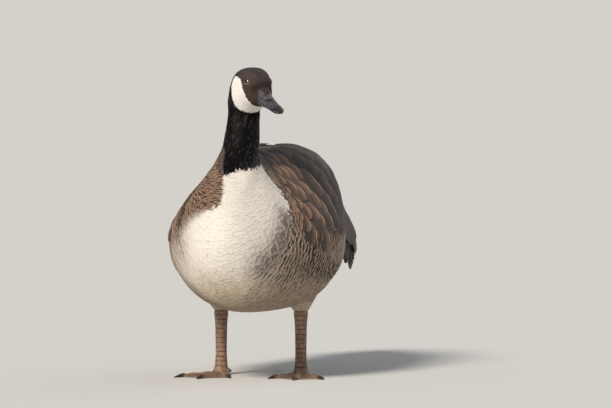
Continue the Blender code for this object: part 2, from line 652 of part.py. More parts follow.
def make_leg(goose):
    """The tarsus from the heel joint to the toes, with raised scutes down its front."""
    rings = [upright_ring(LEG_X, LEG_S, z, half, deep, 12) for z, half, deep in TARSUS]
    leg = loft("leg_left", rings[::-1], goose)
    plates = new_collection("scutes")
    heights, widths, depths = np.array(TARSUS)[::-1].T
    pitch = (SCUTE_HIGH - SCUTE_LOW) / (SCUTES - 1)
    turn = np.linspace(*SCUTE_ROUND, 4)

    def arc(z, swell):
        w = np.interp(z, heights, widths) + swell
        d = np.interp(z, heights, depths) + swell
        return np.stack([LEG_X + w * np.cos(turn), LEG_S + d * np.sin(turn), np.full(4, z)], -1)
    for i in range(SCUTES):
        rows = []
        for share, swell in SCUTE_PROFILE:
            z = SCUTE_LOW + pitch * (i + share)
            rows.append(np.concatenate([arc(z, swell), arc(z, -SCUTE_DEEP)[::-1]]))
        loft(f"scute_{i}", rows, plates)
    boolean(leg, "UNION", plates)
    keep_largest(leg)
    return leg


def foot_outline(angle):
    """How far the web and toes reach at an angle: toes stand out, the web curves in between."""
    reach = np.interp(angle, [row[0] for row in TOES], [row[1] for row in TOES])
    dips = 0
    for low, high in zip(TOES[:-1], TOES[1:]):
        across = np.clip((angle - low[0]) / (high[0] - low[0]), 0, 1)
        dips = dips + 0.16 * np.sin(math.pi * across)**0.7 * ((angle >= low[0]) & (angle <= high[0]))
    return reach * (1 - dips)


def foot_plate():
    """Rings across the sole and the top of the web, with a ridge along each toe."""
    grid_a, grid_r = np.meshgrid(WEB_ANGLES, WEB_SPREAD, indexing="ij")
    reach = foot_outline(np.clip(grid_a, TOES[0][0], TOES[-1][0])) * grid_r
    high = np.full(grid_a.shape, WEB_THICK)
    for angle, _, half in TOES:
        off = reach * np.sin(np.radians(grid_a - angle))
        ridge = np.exp(-(off / half)**2)
        high = np.maximum(high, (TOE_HIGH * (1 - 0.35 * grid_r)) * ridge + 1.4)
    high = np.where(grid_r < 0.1, FOOT_MIDDLE, high)
    turn = np.radians(grid_a) + FOOT_TURN
    x = LEG_X + reach * np.sin(turn)
    s = LEG_S - FOOT_BACK - reach * np.cos(turn)
    top = np.stack([x, s, high], -1)
    low = np.stack([x, s, np.zeros_like(x)], -1)
    return np.concatenate([top, low[:, ::-1]], 1)


def claw_rings(angle, length):
    """Five-sided rings of one claw, from inside the toe to the blunt point."""
    turn = math.radians(angle) + FOOT_TURN
    ahead = np.array([math.sin(turn), -math.cos(turn)])
    across = np.array([-ahead[1], ahead[0]])
    rows = []
    for past, wide, tall in CLAW:
        centre = np.array([LEG_X, LEG_S - FOOT_BACK]) + ahead * (length + past)
        slope = wide * 0.85
        profile = [(-wide, 0.0), (wide, 0.0), (slope, tall * 0.7), (0, tall), (-slope, tall * 0.7)]
        rows.append([[*(centre + across * w), z] for w, z in profile])
    return np.array(rows)


def make_foot(goose):
    """The webbed foot: a flat-soled web with a raised toe along each ray, claws and a hind toe."""
    foot = loft("foot_left", foot_plate(), goose)
    extras = new_collection("toes")
    loft("heel", [upright_ring(LEG_X, LEG_S - 1, z, r, r * 1.25, 12) for z, r in HEEL], extras)
    for k, (angle, length, _) in enumerate(TOES):
        loft(f"claw_{k}", claw_rings(angle, length), extras)
    v = np.linspace(0, 2 * math.pi, 12, endpoint=False)
    hind = [np.stack([LEG_X - 0.25 * back + r * np.cos(v), np.full(12, LEG_S + back),
                      z + r * np.sin(v) * 0.9], -1) for back, z, r in HIND_TOE]
    loft("hind_toe", hind, extras)
    boolean(foot, "UNION", extras)
    keep_largest(foot)
    return foot


def main():
    for obj in list(bpy.data.objects):
        bpy.data.objects.remove(obj)
    goose = new_collection("canada_goose")
    scratch = new_collection("cutters")
    finish(body_length("torso", 0.0, NECK_T, TORSO_STEPS, TORSO_SEGMENTS, goose), "torso")
    finish(body_length("neck", NECK_T, HEAD_T, NECK_STEPS, NECK_SEGMENTS, goose), "neck")
    finish(make_head(goose, scratch), "head")
    finish(bpy.data.objects["eye_left"], "eye")
    finish(bpy.data.objects["eye_right"], "eye")
    for half in make_bill(goose, scratch):
        finish(half, "bill")
    finish(make_tail(goose, scratch), "tail")
    pairs = ((make_wing(goose, scratch), "wing"), (make_thigh(goose, scratch), "thigh"),
             (make_leg(goose), "leg"), (make_foot(goose), "foot"))
    for left, colour in pairs:
        finish(left, colour)
        finish(copy_of(left, left.name.replace("left", "right"), goose), colour, mirror=True)
    for obj in goose.objects:
        print(obj.name, len(obj.data.polygons))


main()
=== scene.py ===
# %% [markdown]
# A life-size Canada goose, standing still with its head turned to its left.
# The solids of the bird come first, as a fixed frame: they say where every part is and how large it is.
# Everything below is a finer surface laid round those solids, so the finished bird keeps their size.

# %% Load the solids
import math
import json

import bpy
import numpy as np
from mathutils import Matrix

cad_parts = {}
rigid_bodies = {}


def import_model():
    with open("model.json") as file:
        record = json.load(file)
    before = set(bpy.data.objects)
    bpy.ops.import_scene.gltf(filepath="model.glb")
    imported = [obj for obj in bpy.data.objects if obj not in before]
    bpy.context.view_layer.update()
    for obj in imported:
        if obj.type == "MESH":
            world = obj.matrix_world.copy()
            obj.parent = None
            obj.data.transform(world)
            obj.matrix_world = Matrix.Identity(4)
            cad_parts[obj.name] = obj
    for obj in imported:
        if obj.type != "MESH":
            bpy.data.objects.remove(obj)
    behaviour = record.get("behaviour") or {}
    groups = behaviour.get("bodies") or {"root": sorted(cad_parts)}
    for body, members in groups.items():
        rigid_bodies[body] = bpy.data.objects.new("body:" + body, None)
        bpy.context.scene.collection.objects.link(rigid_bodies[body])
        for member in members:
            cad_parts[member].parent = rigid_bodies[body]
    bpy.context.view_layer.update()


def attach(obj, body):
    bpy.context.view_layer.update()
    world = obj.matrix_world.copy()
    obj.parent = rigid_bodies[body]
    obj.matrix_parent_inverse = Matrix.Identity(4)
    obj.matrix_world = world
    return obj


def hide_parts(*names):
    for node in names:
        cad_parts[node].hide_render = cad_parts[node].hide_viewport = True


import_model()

# %% [markdown]
# The goose is drawn in millimetres: x across, s back from the front of the breast, z up from the floor.
# One function turns those sizes into the metres of the frame.

# %% Sizes and places
MM = 0.001
TAIL_TIP = 590.0
ORIGIN_S = TAIL_TIP / 2
GAP = 0.3                               # room between two neighbouring solids
LEG_X, LEG_S, LEG_HIGH = 54.0, 240.0, 93.0


def to_world(p):
    """Millimetres (x, s, z) become metres, with s measured from the middle of the bird's length."""
    return (np.asarray(p, float) - np.array([0.0, ORIGIN_S, 0.0])) * MM


print("length in metres:", TAIL_TIP * MM)

# %% [markdown]
# The camera stands far in front of the bird and a little to its left, with a long lens. It could stand close
# with a wide one, but then the breast would look too large for the head. From afar, the lines of sight are
# almost parallel. It is aimed so that the point between the legs falls where the picture shows it.

# %% Camera
AZIMUTH, ELEVATION = math.radians(13), math.radians(2.5)
DISTANCE, SIGHT = 10.0, 100.0           # from the bird, and how far the camera sees, in metres
PIXEL = 0.00132                         # size of one picture point at the bird, in metres
WIDE, HIGH = 612, 408                   # the picture, in points
LEG_AT = (261, 305)                     # where the picture shows the point between the legs
LEG_POINT = to_world((0.0, LEG_S, LEG_HIGH))
SENSOR = 36.0


def direction(azimuth, height):
    """The unit vector from the bird towards a place seen at this azimuth and height."""
    return np.array([math.sin(azimuth) * math.cos(height), -math.cos(azimuth) * math.cos(height),
                     math.sin(height)])


def level_axes(back):
    """Right, up and back of a lens that looks against back and is held level."""
    side = np.cross([0.0, 0.0, 1.0], back)
    side /= np.linalg.norm(side)
    return side, np.cross(back, side), back


def put(name, data, axes, at):
    """An object for a camera or lamp, in the scene, with these axes and at this place."""
    made = bpy.data.objects.new(name, data)
    matrix = np.eye(4)
    matrix[:3] = np.stack([*axes, at], 1)
    made.matrix_world = Matrix(matrix.tolist())
    bpy.context.scene.collection.objects.link(made)
    return made


right, upward, toward = level_axes(direction(AZIMUTH, ELEVATION))
target = LEG_POINT + right * (WIDE / 2 - LEG_AT[0]) * PIXEL + upward * (LEG_AT[1] - HIGH / 2) * PIXEL

lens = bpy.data.cameras.new("camera")
lens.sensor_width = SENSOR
lens.lens = SENSOR * DISTANCE / (WIDE * PIXEL)
lens.clip_end = SIGHT
bpy.context.scene.camera = put("camera", lens, (right, upward, toward), target + toward * DISTANCE)
print("camera at", np.round(target + toward * DISTANCE, 3), "lens", round(lens.lens, 1))

# %% [markdown]
# One soft sun stands left of the camera: it lights the breast and leaves the flank on the right in half
# shade. A weak cool one behind the bird lights the edge of its back. Area lamps could do this too, but a sun
# lights head and feet alike, wherever it stands.

# %% Suns
SUN_AZIMUTH, SUN_HEIGHT = math.radians(-14), math.radians(36)
FILL_AZIMUTH, FILL_HEIGHT = math.radians(150), math.radians(30)
SUN_SOFT, FILL_SOFT = math.radians(14), math.radians(40)
SUN_POWER, FILL_POWER = 3.3, 0.35
SUN_COLOUR, FILL_COLOUR = (1.0, 0.94, 0.86), (0.9, 0.95, 1.0)
LAMP_FAR = 4.0


def add_sun(name, azimuth, height, power, soft, colour):
    """A sun at this azimuth and height. Soft is the angle that it fills: a wide one has soft shadows."""
    data = bpy.data.lights.new(name, "SUN")
    data.energy, data.angle, data.color = power, soft, colour
    back = direction(azimuth, height)
    put(name, data, level_axes(back), back * LAMP_FAR)


add_sun("sun", SUN_AZIMUTH, SUN_HEIGHT, SUN_POWER, SUN_SOFT, SUN_COLOUR)
add_sun("fill", FILL_AZIMUTH, FILL_HEIGHT, FILL_POWER, FILL_SOFT, FILL_COLOUR)
print("suns:", [lamp.name for lamp in bpy.data.lights])

# %% [markdown]
# The sky gives the weak cool light of a studio's white walls. A bright enough sky would flood every shadow,
# so it is split: it shines weakly on the bird, and the camera alone sees it as bright as the pale floor.

# %% Sky
SKY_COLOUR, SKY_POWER = (0.88, 0.93, 1.0), 0.27
BACKDROP = (0.60, 0.595, 0.58)

world = bpy.data.worlds.new("studio")
world.use_nodes = True
sky_nodes, sky_links = world.node_tree.nodes, world.node_tree.links
sky = sky_nodes["Background"]
sky.inputs["Color"].default_value = (*SKY_COLOUR, 1)
sky.inputs["Strength"].default_value = SKY_POWER
seen = sky_nodes.new("ShaderNodeBackground")
seen.inputs["Color"].default_value = (*BACKDROP, 1)
which = sky_nodes.new("ShaderNodeMixShader")
sky_links.new(sky_nodes.new("ShaderNodeLightPath").outputs["Is Camera Ray"], which.inputs["Fac"])
sky_links.new(sky.outputs["Background"], which.inputs[1])
sky_links.new(seen.outputs["Background"], which.inputs[2])
sky_links.new(which.outputs["Shader"], sky_nodes["World Output"].inputs["Surface"])
bpy.context.scene.world = world
bpy.context.scene.view_settings.view_transform = "Standard"
print("sky:", SKY_POWER, "seen as", BACKDROP)

# %% [markdown]
# A mesh here is always a grid of points: rows of points that two numbers place. This helper joins the rows
# with four-sided faces, closes the grid round one way if asked, and fans the two ends shut.
# Filling the mesh from whole arrays is quick, where a loop over the points would be slow.

# %% Grids of points become meshes


def grid_faces(rows, columns, closed):
    """Quads between neighbouring points of a rows by columns grid, as an array of four indices each."""
    i = np.arange(rows - 1)[:, None]
    j = np.arange(columns if closed else columns - 1)[None, :]
    k = (j + 1) % columns
    quads = np.stack(np.broadcast_arrays(i * columns + j, i * columns + k, (i + 1) * columns + k,
                                         (i + 1) * columns + j), -1)
    return quads.reshape(-1, 4)


def fill_mesh(name, points, quads, tris=()):
    """A mesh from arrays of points in millimetres, four-sided faces and three-sided faces."""
    points = to_world(np.asarray(points).reshape(-1, 3))
    quads = np.asarray(quads, int).reshape(-1, 4)
    tris = np.asarray(tris, int).reshape(-1, 3)
    mesh = bpy.data.meshes.new(name)
    mesh.vertices.add(len(points))
    mesh.vertices.foreach_set("co", points.astype(np.float32).ravel())
    corners = np.concatenate([quads.ravel(), tris.ravel()])
    sizes = np.concatenate([np.full(len(quads), 4), np.full(len(tris), 3)])
    mesh.loops.add(len(corners))
    mesh.loops.foreach_set("vertex_index", corners.astype(np.int32))
    mesh.polygons.add(len(sizes))
    mesh.polygons.foreach_set("loop_start", np.concatenate([[0], np.cumsum(sizes)[:-1]]).astype(np.int32))
    mesh.update(calc_edges=True)
    mesh.validate()
    mesh.shade_smooth()
    return mesh


print("faces of a grid of 3 by 4 points:", len(grid_faces(3, 4, False)))

# %% [markdown]
# A round part, such as a leg, is a tube of rings with both ends shut, so that it has an inside and an
# outside. A piece made on the left is mirrored for the right by turning x round, and its faces are turned
# too, because a mirror turns a shape inside out. A finished piece hides the solids that it stands for, where
# it names them.

# %% Tubes and finished pieces
TURN = 2 * math.pi


def place_piece(name, mesh, material, slot, *nodes):
    """Put a finished mesh in the scene, on the bird's one body, in place of the solids named."""
    piece = bpy.data.objects.new(name, mesh)
    bpy.context.scene.collection.objects.link(piece)
    mesh.materials.append(material)
    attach(piece, "root")
    if nodes:
        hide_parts(*nodes)


def tube_parts(rings, flip=False):
    """Points and faces of a closed skin over rings of points, each end shut by a fan round its middle."""
    rings = np.asarray(rings, float)
    n, m = rings.shape[:2]
    points = np.concatenate([rings.reshape(-1, 3), rings[:1].mean(1), rings[-1:].mean(1)])
    j = np.arange(m)
    k = (j + 1) % m
    first = np.stack([np.full(m, n * m), k, j], -1)
    last = np.stack([np.full(m, n * m + 1), (n - 1) * m + j, (n - 1) * m + k], -1)
    quads, tris = grid_faces(n, m, True), np.concatenate([first, last])
    if flip:
        quads, tris = quads[:, ::-1], tris[:, ::-1]
    return points, quads, tris


def tube(name, rings, flip=False):
    """The closed skin over the rings, as a mesh."""
    return fill_mesh(name, *tube_parts(rings, flip))


def mirrored(points, side):
    """The same points for side 1, and their mirror image on the right for side -1."""
    return points * np.array([side, 1.0, 1.0])


def round_angles(count):
    """Angles once round, without the last, which is the first again."""
    return np.linspace(0, TURN, count, endpoint=False)


SIDES = ((1, "left"), (-1, "right"))
print("sides:", [word for _, word in SIDES])

# %% [markdown]
# The body is one long form from tail to bill, drawn as a row of oval rings, each with its top, its bottom,
# its half width and how much its upper half narrows. A smooth curve runs through the rings, so any place on
# the bird is found from two numbers: t, the ring, and v, the angle from the top of the ring.
# The neck turns about an upright line, so the head looks to the bird's left while the body stays straight.

# %% The form of the body
EYE_S, EYE_Z = 87.0, 391.5
PITCH = math.radians(13)
HEAD_YAW = math.radians(39.5)
YAW_AXIS_S = 112.0
NECK_LEAN, HEAD_SHIFT = 3.4, 9.8        # how far the neck stands to the left, and how much more the head
SHIFT_LOW, SHIFT_HIGH = 308.0, 358.0
TWIST_LOW, TWIST_HIGH = 284.0, 343.0
JOIN_START, JOIN_END = 10.5, 16.0

# Rings from tail to throat: top (s, z), bottom (s, z), half width, narrowing, squareness above and below
BODY_RINGS = [
    (508, 184, 508, 160, 22, 0.00, 2.0, 2.0), (482, 199, 479, 153, 36, 0.00, 2.0, 2.0),
    (450, 219, 443, 141, 50, 0.05, 2.0, 2.2), (400, 258, 395, 124, 68, 0.10, 2.1, 2.4),
    (350, 284, 345, 106, 86, 0.12, 2.2, 2.8), (300, 297, 290, 95, 98, 0.18, 2.3, 2.8),
    (255, 301, 235, 88, 107, 0.28, 2.3, 2.6), (215, 301, 180, 87, 108, 0.44, 2.2, 2.15),
    (190, 302, 125, 91, 104, 0.50, 2.1, 2.0), (173, 303, 80, 103, 96, 0.52, 2.0, 2.0),
    (161, 305, 43, 122, 84.5, 0.50, 2.0, 2.0), (152, 308, 15, 150, 69, 0.50, 2.0, 2.0),
    (146, 312, 1, 184, 52, 0.42, 2.0, 2.0), (142, 317, 6, 218, 36, 0.18, 2.0, 2.0),
    (140, 323, 26, 246, 27.5, 0.02, 2.0, 2.0), (139.5, 330, 51, 269, 24.2, 0.0, 2.0, 2.0),
    (139.5, 338, 72, 290, 23.4, 0.0, 2.0, 2.0), (140.5, 346, 86, 309, 22.5, 0.0, 2.0, 2.0),
    (143, 354, 96, 328, 21.6, 0.0, 2.0, 2.0),
]
# Rings of the head from nape to bill, forward and up from the eye
HEAD_RINGS = [
    (-52, -35, -7, -45, 21.1, 0.0, 2.0, 2.0), (-52, -26, -5, -43.5, 21.3, 0.0, 2.0, 2.0),
    (-50, -17, -1.5, -41, 22.2, 0.0, 2.05, 2.0), (-45.5, -7.7, 2, -38, 23.2, 0.0, 2.2, 2.0),
    (-38.8, 2.2, 6, -35, 23.8, 0.0, 2.45, 2.0), (-30, 9.7, 9.5, -32.5, 23.6, 0.0, 2.7, 2.0),
    (-19.5, 15, 12.5, -31, 22.7, 0.0, 2.75, 2.0), (-8, 17, 15, -29.5, 20.9, 0.0, 2.7, 2.1),
    (3, 15.6, 17.5, -28, 18.1, 0.0, 2.5, 2.1), (12, 11.2, 20, -27, 15.4, 0.0, 2.3, 2.1),
    (19.5, 5.2, 22.3, -25.5, 13.8, 0.0, 2.1, 2.1), (24, -0.6, 24, -24, 12.7, 0.0, 2.1, 2.1),
]
LAST_T = len(BODY_RINGS) + len(HEAD_RINGS) - 1.0
print("rings of the body:", len(BODY_RINGS), "of the head:", len(HEAD_RINGS))

# %% [markdown]
# A box of few faces, smoothed by a modifier, could give the same form, but then no formula would say where a
# feather stands. Here the surface is a function: give it two numbers, and it gives a point, its slopes and
# the direction that stands out from it. Skin, feathers and markings all ask this one function.

# %% Places on the body
SLOPE_STEP = 0.004                      # how far apart two places are when a slope is measured


def as_arrays(*values):
    """The values as arrays of numbers that share one shape."""
    return np.broadcast_arrays(*(np.asarray(value, float) for value in values))


def head_axes(f, u):
    """Forward and up from the eye become s and z: both are turned down by the pitch of the head."""
    return (EYE_S - f * math.cos(PITCH) - u * math.sin(PITCH),
            EYE_Z + u * math.cos(PITCH) - f * math.sin(PITCH))


def between(rows, t):
    """The smooth curve through the rows of a table: a cubic whose slope at a row joins its neighbours."""
    rows = np.asarray(rows, float)
    ends = np.vstack([2 * rows[0] - rows[1], rows, 2 * rows[-1] - rows[-2]])
    i = np.clip(np.floor(t).astype(int), 0, len(rows) - 2)
    f = (t - i)[..., None]
    a, b, c, d = ends[i], ends[i + 1], ends[i + 2], ends[i + 3]
    return 0.5 * (2 * b + (c - a) * f + (2 * a - 5 * b + 4 * c - d) * f**2 + (3 * b - a - 3 * c + d) * f**3)


def ease(x, low, high):
    """0 below low, 1 above high, and 3 x squared less 2 x cubed between."""
    x = np.clip((np.asarray(x, float) - low) / (high - low), 0, 1)
    return x * x * (3 - 2 * x)


def section(ring, v):
    """A ring's point at the angle v from its top: a superellipse whose upper half narrows."""
    st, zt, sb, zb, half, pear, top, low = np.moveaxis(ring, -1, 0)
    c, s = np.cos(v), np.sin(v)
    power = np.where(c > 0, top, low)
    reach = 1 / (np.abs(c)**power + np.abs(s)**power)**(1 / power)
    up = reach * c
    narrow = pear * (up + np.sqrt(up * up + 0.04)) / 2
    across = half * reach * s * (1 - narrow)
    return np.stack([across, (st + sb) / 2 + (st - sb) / 2 * up, (zt + zb) / 2 + (zt - zb) / 2 * up], -1)


def posed(p, t):
    """Turn a point about the neck's upright line, more the higher it stands."""
    free = ease(t, JOIN_START, JOIN_END)
    a = HEAD_YAW * free * ease(p[..., 2], TWIST_LOW, TWIST_HIGH)
    lean = free * (NECK_LEAN + HEAD_SHIFT * ease(p[..., 2], SHIFT_LOW, SHIFT_HIGH))
    x, s = p[..., 0], p[..., 1] - YAW_AXIS_S
    return np.stack([x * np.cos(a) - s * np.sin(a) + lean,
                     x * np.sin(a) + s * np.cos(a) + YAW_AXIS_S, p[..., 2]], -1)


ALL_RINGS = np.array(BODY_RINGS + [
    (*head_axes(ft, ut), *head_axes(fb, ub), *rest) for ft, ut, fb, ub, *rest in HEAD_RINGS], float)


def body_surface(t, v):
    """The bird's outline surface: ring t, angle v, then the turn of the neck."""
    t, v = as_arrays(t, v)
    return posed(section(between(ALL_RINGS, t), v), t)


def surface_frame(surface, a, b):
    """A surface's point, its two slopes, and the direction that stands out from it."""
    p = surface(a, b)
    pa = (surface(a + SLOPE_STEP, b) - surface(a - SLOPE_STEP, b)) / (2 * SLOPE_STEP)
    pb = (surface(a, b + SLOPE_STEP) - surface(a, b - SLOPE_STEP)) / (2 * SLOPE_STEP)
    n = np.cross(pb, pa)
    n /= np.linalg.norm(n, axis=-1, keepdims=True) + 1e-9
    return p, pa, pb, n


def in_head(f, l, u):
    """Points given forward, left and up from the eye line, placed on the turned head."""
    f, l, u = as_arrays(f, l, u)
    s, z = head_axes(f, u)
    return posed(np.stack([l, s, z], -1), np.full(f.shape, LAST_T))


print("top of the breast, x s z:", np.round(body_surface(13.0, 0.0), 1))

# %% [markdown]
# Shader maths reads better as plain expressions. This small class wraps one value in a material, so that
# 1 - mask or noise * 0.5 adds the Math nodes by itself. Colours are mixed with Mix nodes instead, because a
# Math node would turn a colour grey.

# %% Materials as expressions
NOISE_ROUGH = 0.55


class Value:
    """A number that the shader works out at each point of the surface."""

    def __init__(self, paint, socket):
        self.paint, self.socket = paint, socket

    def math(self, operation, *others):
        """This value and the others, joined by one Math node."""
        return self.paint.node("ShaderNodeMath", {"operation": operation}, [self, *others])

    def __add__(self, other):
        return self.math("ADD", other)

    def __sub__(self, other):
        return self.math("SUBTRACT", other)

    def __rsub__(self, other):
        return self.paint.node("ShaderNodeMath", {"operation": "SUBTRACT"}, [other, self])

    def __mul__(self, other):
        return self.math("MULTIPLY", other)

    __radd__, __rmul__ = __add__, __mul__

    def step(self, low, high):
        """0 where the value is under low, 1 over high, smooth between."""
        return self.paint.node("ShaderNodeMapRange", {"interpolation_type": "SMOOTHSTEP"},
                               {"Value": self, "From Min": low, "From Max": high})


class Paint:
    """A material on a Principled shader, whose fixed settings are set on the shader's own sockets."""

    def __init__(self, name, **fixed):
        self.material = bpy.data.materials.new(name)
        self.material.use_nodes = True
        self.tree = self.material.node_tree
        self.shader = self.tree.nodes["Principled BSDF"]
        for socket, value in fixed.items():
            self.shader.inputs[socket.replace("_", " ")].default_value = value

    def node(self, kind, settings=None, inputs=(), out=0):
        """Add a node: its settings first, then the values or links of its sockets, by place or by name."""
        made = self.tree.nodes.new(kind)
        for name, value in (settings or {}).items():
            setattr(made, name, value)
        shown = [socket for socket in made.inputs if socket.enabled]
        pairs = inputs.items() if isinstance(inputs, dict) else enumerate(inputs)
        for key, value in pairs:
            socket = shown[key] if isinstance(key, int) else next(s for s in shown if s.name == key)
            if isinstance(value, Value):
                self.tree.links.new(value.socket, socket)
            else:
                socket.default_value = value
        outputs = [socket for socket in made.outputs if socket.enabled]
        return Value(self, outputs[out] if isinstance(out, int) else made.outputs[out])

    def attribute(self, name, out="Fac"):
        """A value that the mesh carries at each of its points."""
        return self.node("ShaderNodeAttribute", {"attribute_name": name}, out=out)

    def place(self):
        """Where the point is on the object itself, in metres."""
        return self.node("ShaderNodeTexCoord", out="Object")

    def noise(self, scale, detail=3.0):
        """Cloudy noise on Object coordinates: about so many clouds to a metre, with finer ones inside."""
        return self.node("ShaderNodeTexNoise", {}, {"Vector": self.place(), "Scale": scale,
                                                    "Detail": detail, "Roughness": NOISE_ROUGH})

    def mix(self, factor, a, b, kind="MIX"):
        """The colour a where the factor is 0 and b where it is 1."""
        a = (*a, 1) if isinstance(a, tuple) else a
        b = (*b, 1) if isinstance(b, tuple) else b
        return self.node("ShaderNodeMix", {"data_type": "RGBA", "blend_type": kind, "clamp_factor": True},
                         {"Factor": factor, "A": a, "B": b})

    def feed(self, socket, value):
        """Let a value drive one setting of the material."""
        self.tree.links.new(value.socket, self.shader.inputs[socket])

    def bump(self, height, distance, strength=1.0):
        """Shade the surface as if it stood out by the height times the distance, in metres."""
        self.feed("Normal", self.node("ShaderNodeBump", {}, {"Height": height, "Distance": distance,
                                                             "Strength": strength}))


print("a material's helpers:", [name for name in vars(Paint) if not name.startswith("_")])

# %% [markdown]
# The floor is a wide pale disc, so wide that its rim is lost at the horizon and no edge shows. A plain square
# would do as well. It is only a stage: it isn't part of the bird and has no size to keep.

# %% Floor
FLOOR_POINTS, FLOOR_RADIUS, FLOOR_DROP = 96, 60000, 0.2
FLOOR_TONES = (0.735, 0.72, 0.69), (0.755, 0.74, 0.71)
floor_paint = Paint("floor", Roughness=0.9)
floor_paint.feed("Base Color", floor_paint.mix(floor_paint.noise(3.0), *FLOOR_TONES))
turn = round_angles(FLOOR_POINTS)
disc = np.stack([FLOOR_RADIUS * np.cos(turn), FLOOR_RADIUS * np.sin(turn),
                 np.full(FLOOR_POINTS, -FLOOR_DROP)], -1)
corner = np.arange(FLOOR_POINTS)
floor_faces = np.stack([np.full(FLOOR_POINTS, FLOOR_POINTS), corner, (corner + 1) % FLOOR_POINTS], -1)
floor_mesh = fill_mesh("floor", np.concatenate([disc, [[0, 0, -FLOOR_DROP]]]), np.zeros((0, 4)), floor_faces)
floor = bpy.data.objects.new("floor", floor_mesh)
floor_mesh.materials.append(floor_paint.material)
bpy.context.scene.collection.objects.link(floor)
print("floor faces:", len(floor_mesh.polygons))

# %% [markdown]
# A goose's plumage has one ground colour at each place: cream white on the breast, grey brown with pale
# edges on the flanks, warm brown on the shoulders, black on the neck and head with the white cheek patch.
# A painted picture could hold them, but it would blur on a near view. So the borders are curves on the body,
# each written as ring numbers at some angles from the top of the ring, or the other way round.

# %% Colours and their borders
# The belly's tone is painted shade for the underside, away from the light; cream and vent are the feathers'
# own white.
CREAM, SHADED_BELLY, VENT = (0.83, 0.765, 0.685), (0.25, 0.18, 0.125), (0.78, 0.74, 0.68)
# The breast's shade tone is painted shade for the fold between breast and wing.
BREAST_SHADE, BREAST_LOW = (0.21, 0.155, 0.125), (0.70, 0.575, 0.42)
# The flank's second, darker tone is painted shade for the flank that faces away from the sun.
FLANK, FLANK_SHADE = (0.30, 0.215, 0.155), (0.145, 0.098, 0.082)
SHOULDER, MANTLE = (0.175, 0.090, 0.050), (0.070, 0.046, 0.037)
BLACK, RUMP = (0.0035, 0.0025, 0.0028), (0.018, 0.014, 0.013)
# Face and crown are the black of the head lightened to brown grey: its own colour with painted sheen.
CHEEK, FACE_WITH_SHEEN, CROWN_WITH_SHEEN = (0.90, 0.86, 0.81), (0.086, 0.053, 0.038), (0.080, 0.062, 0.062)
# Painted shade for the hollow between eye and bill.
HOLLOW_SHADE = (0.012, 0.008, 0.007)

# Ring where the black neck ends, at each angle round the neck
NECK_EDGE = [(0, 13.3), (30, 12.7), (55, 12.4), (73, 12.9), (91, 13.7), (114, 14.5), (145, 15.15),
             (167, 15.25), (181, 15.15), (192, 15.0), (203, 14.9), (209, 15.25), (220, 15.7), (238, 16.1),
             (270, 15.8), (300, 14.9), (330, 14.0), (360, 13.3)]
# Ring of the fold between breast and wing or flank on the left, at each angle
CREASE = [(0, 13.6), (58, 13.3), (66, 11.4), (71, 10.75), (76, 10.54), (82, 10.38), (89, 10.36), (95, 10.32),
          (104, 10.24), (121, 10.16), (129, 10.14), (151, 10.16), (165, 9.7), (180, 9.0)]
# Angle from the top where the brown of the right shoulder ends, at each ring
SHOULDER_EDGE = [(0, 78), (5, 92), (8, 102), (9, 108), (10.07, 111), (10.84, 113), (11.47, 117),
                 (12.07, 124), (12.58, 134), (13.0, 145), (13.3, 160), (13.56, 174), (13.85, 175),
                 (14.11, 172), (14.62, 163), (14.9, 156), (15.5, 150)]
# Rings of the cheek patch's front and back edges, at each angle from the top
CHEEK_FRONT = [(54, 24.05), (57, 24.35), (63, 24.94), (68, 25.45), (83, 25.6), (93, 25.67), (109, 25.92),
               (139, 25.96), (153, 25.8), (180, 25.6)]
CHEEK_BACK = [(54, 24.05), (57, 23.8), (60, 23.33), (66, 22.9), (74, 22.56), (85, 22.18), (96, 21.67),
              (108, 21.03), (119, 20.44), (131, 20.14), (180, 20.27)]


def table(pairs, x):
    """The value at x of a curve given by its corners, straight between them."""
    pairs = np.array(pairs, float)
    return np.interp(x, pairs[:, 0], pairs[:, 1])


print("corners of the cheek's edges:", len(CHEEK_FRONT) + len(CHEEK_BACK))

# %% [markdown]
# The colour is a formula of the place (t, v), so that skin and feathers can share it. It works as a painter
# does, from the ground up: each later colour covers the earlier ones where its mask is 1. The masks are
# steps, sharp on the neck and cheek and soft on the flanks.

# %% Colour of a place


def blend(a, b, share):
    """The colour a where the share is 0 and b where it is 1."""
    return np.asarray(a) * (1 - share[..., None]) + np.asarray(b) * share[..., None]


def head_place(t, v):
    """Forward, left and up from the eye line of a place on the head, before the neck turns."""
    p = section(between(ALL_RINGS, t), v)
    ds, dz = EYE_S - p[..., 1], p[..., 2] - EYE_Z
    return (ds * math.cos(PITCH) - dz * math.sin(PITCH), p[..., 0],
            ds * math.sin(PITCH) + dz * math.cos(PITCH))


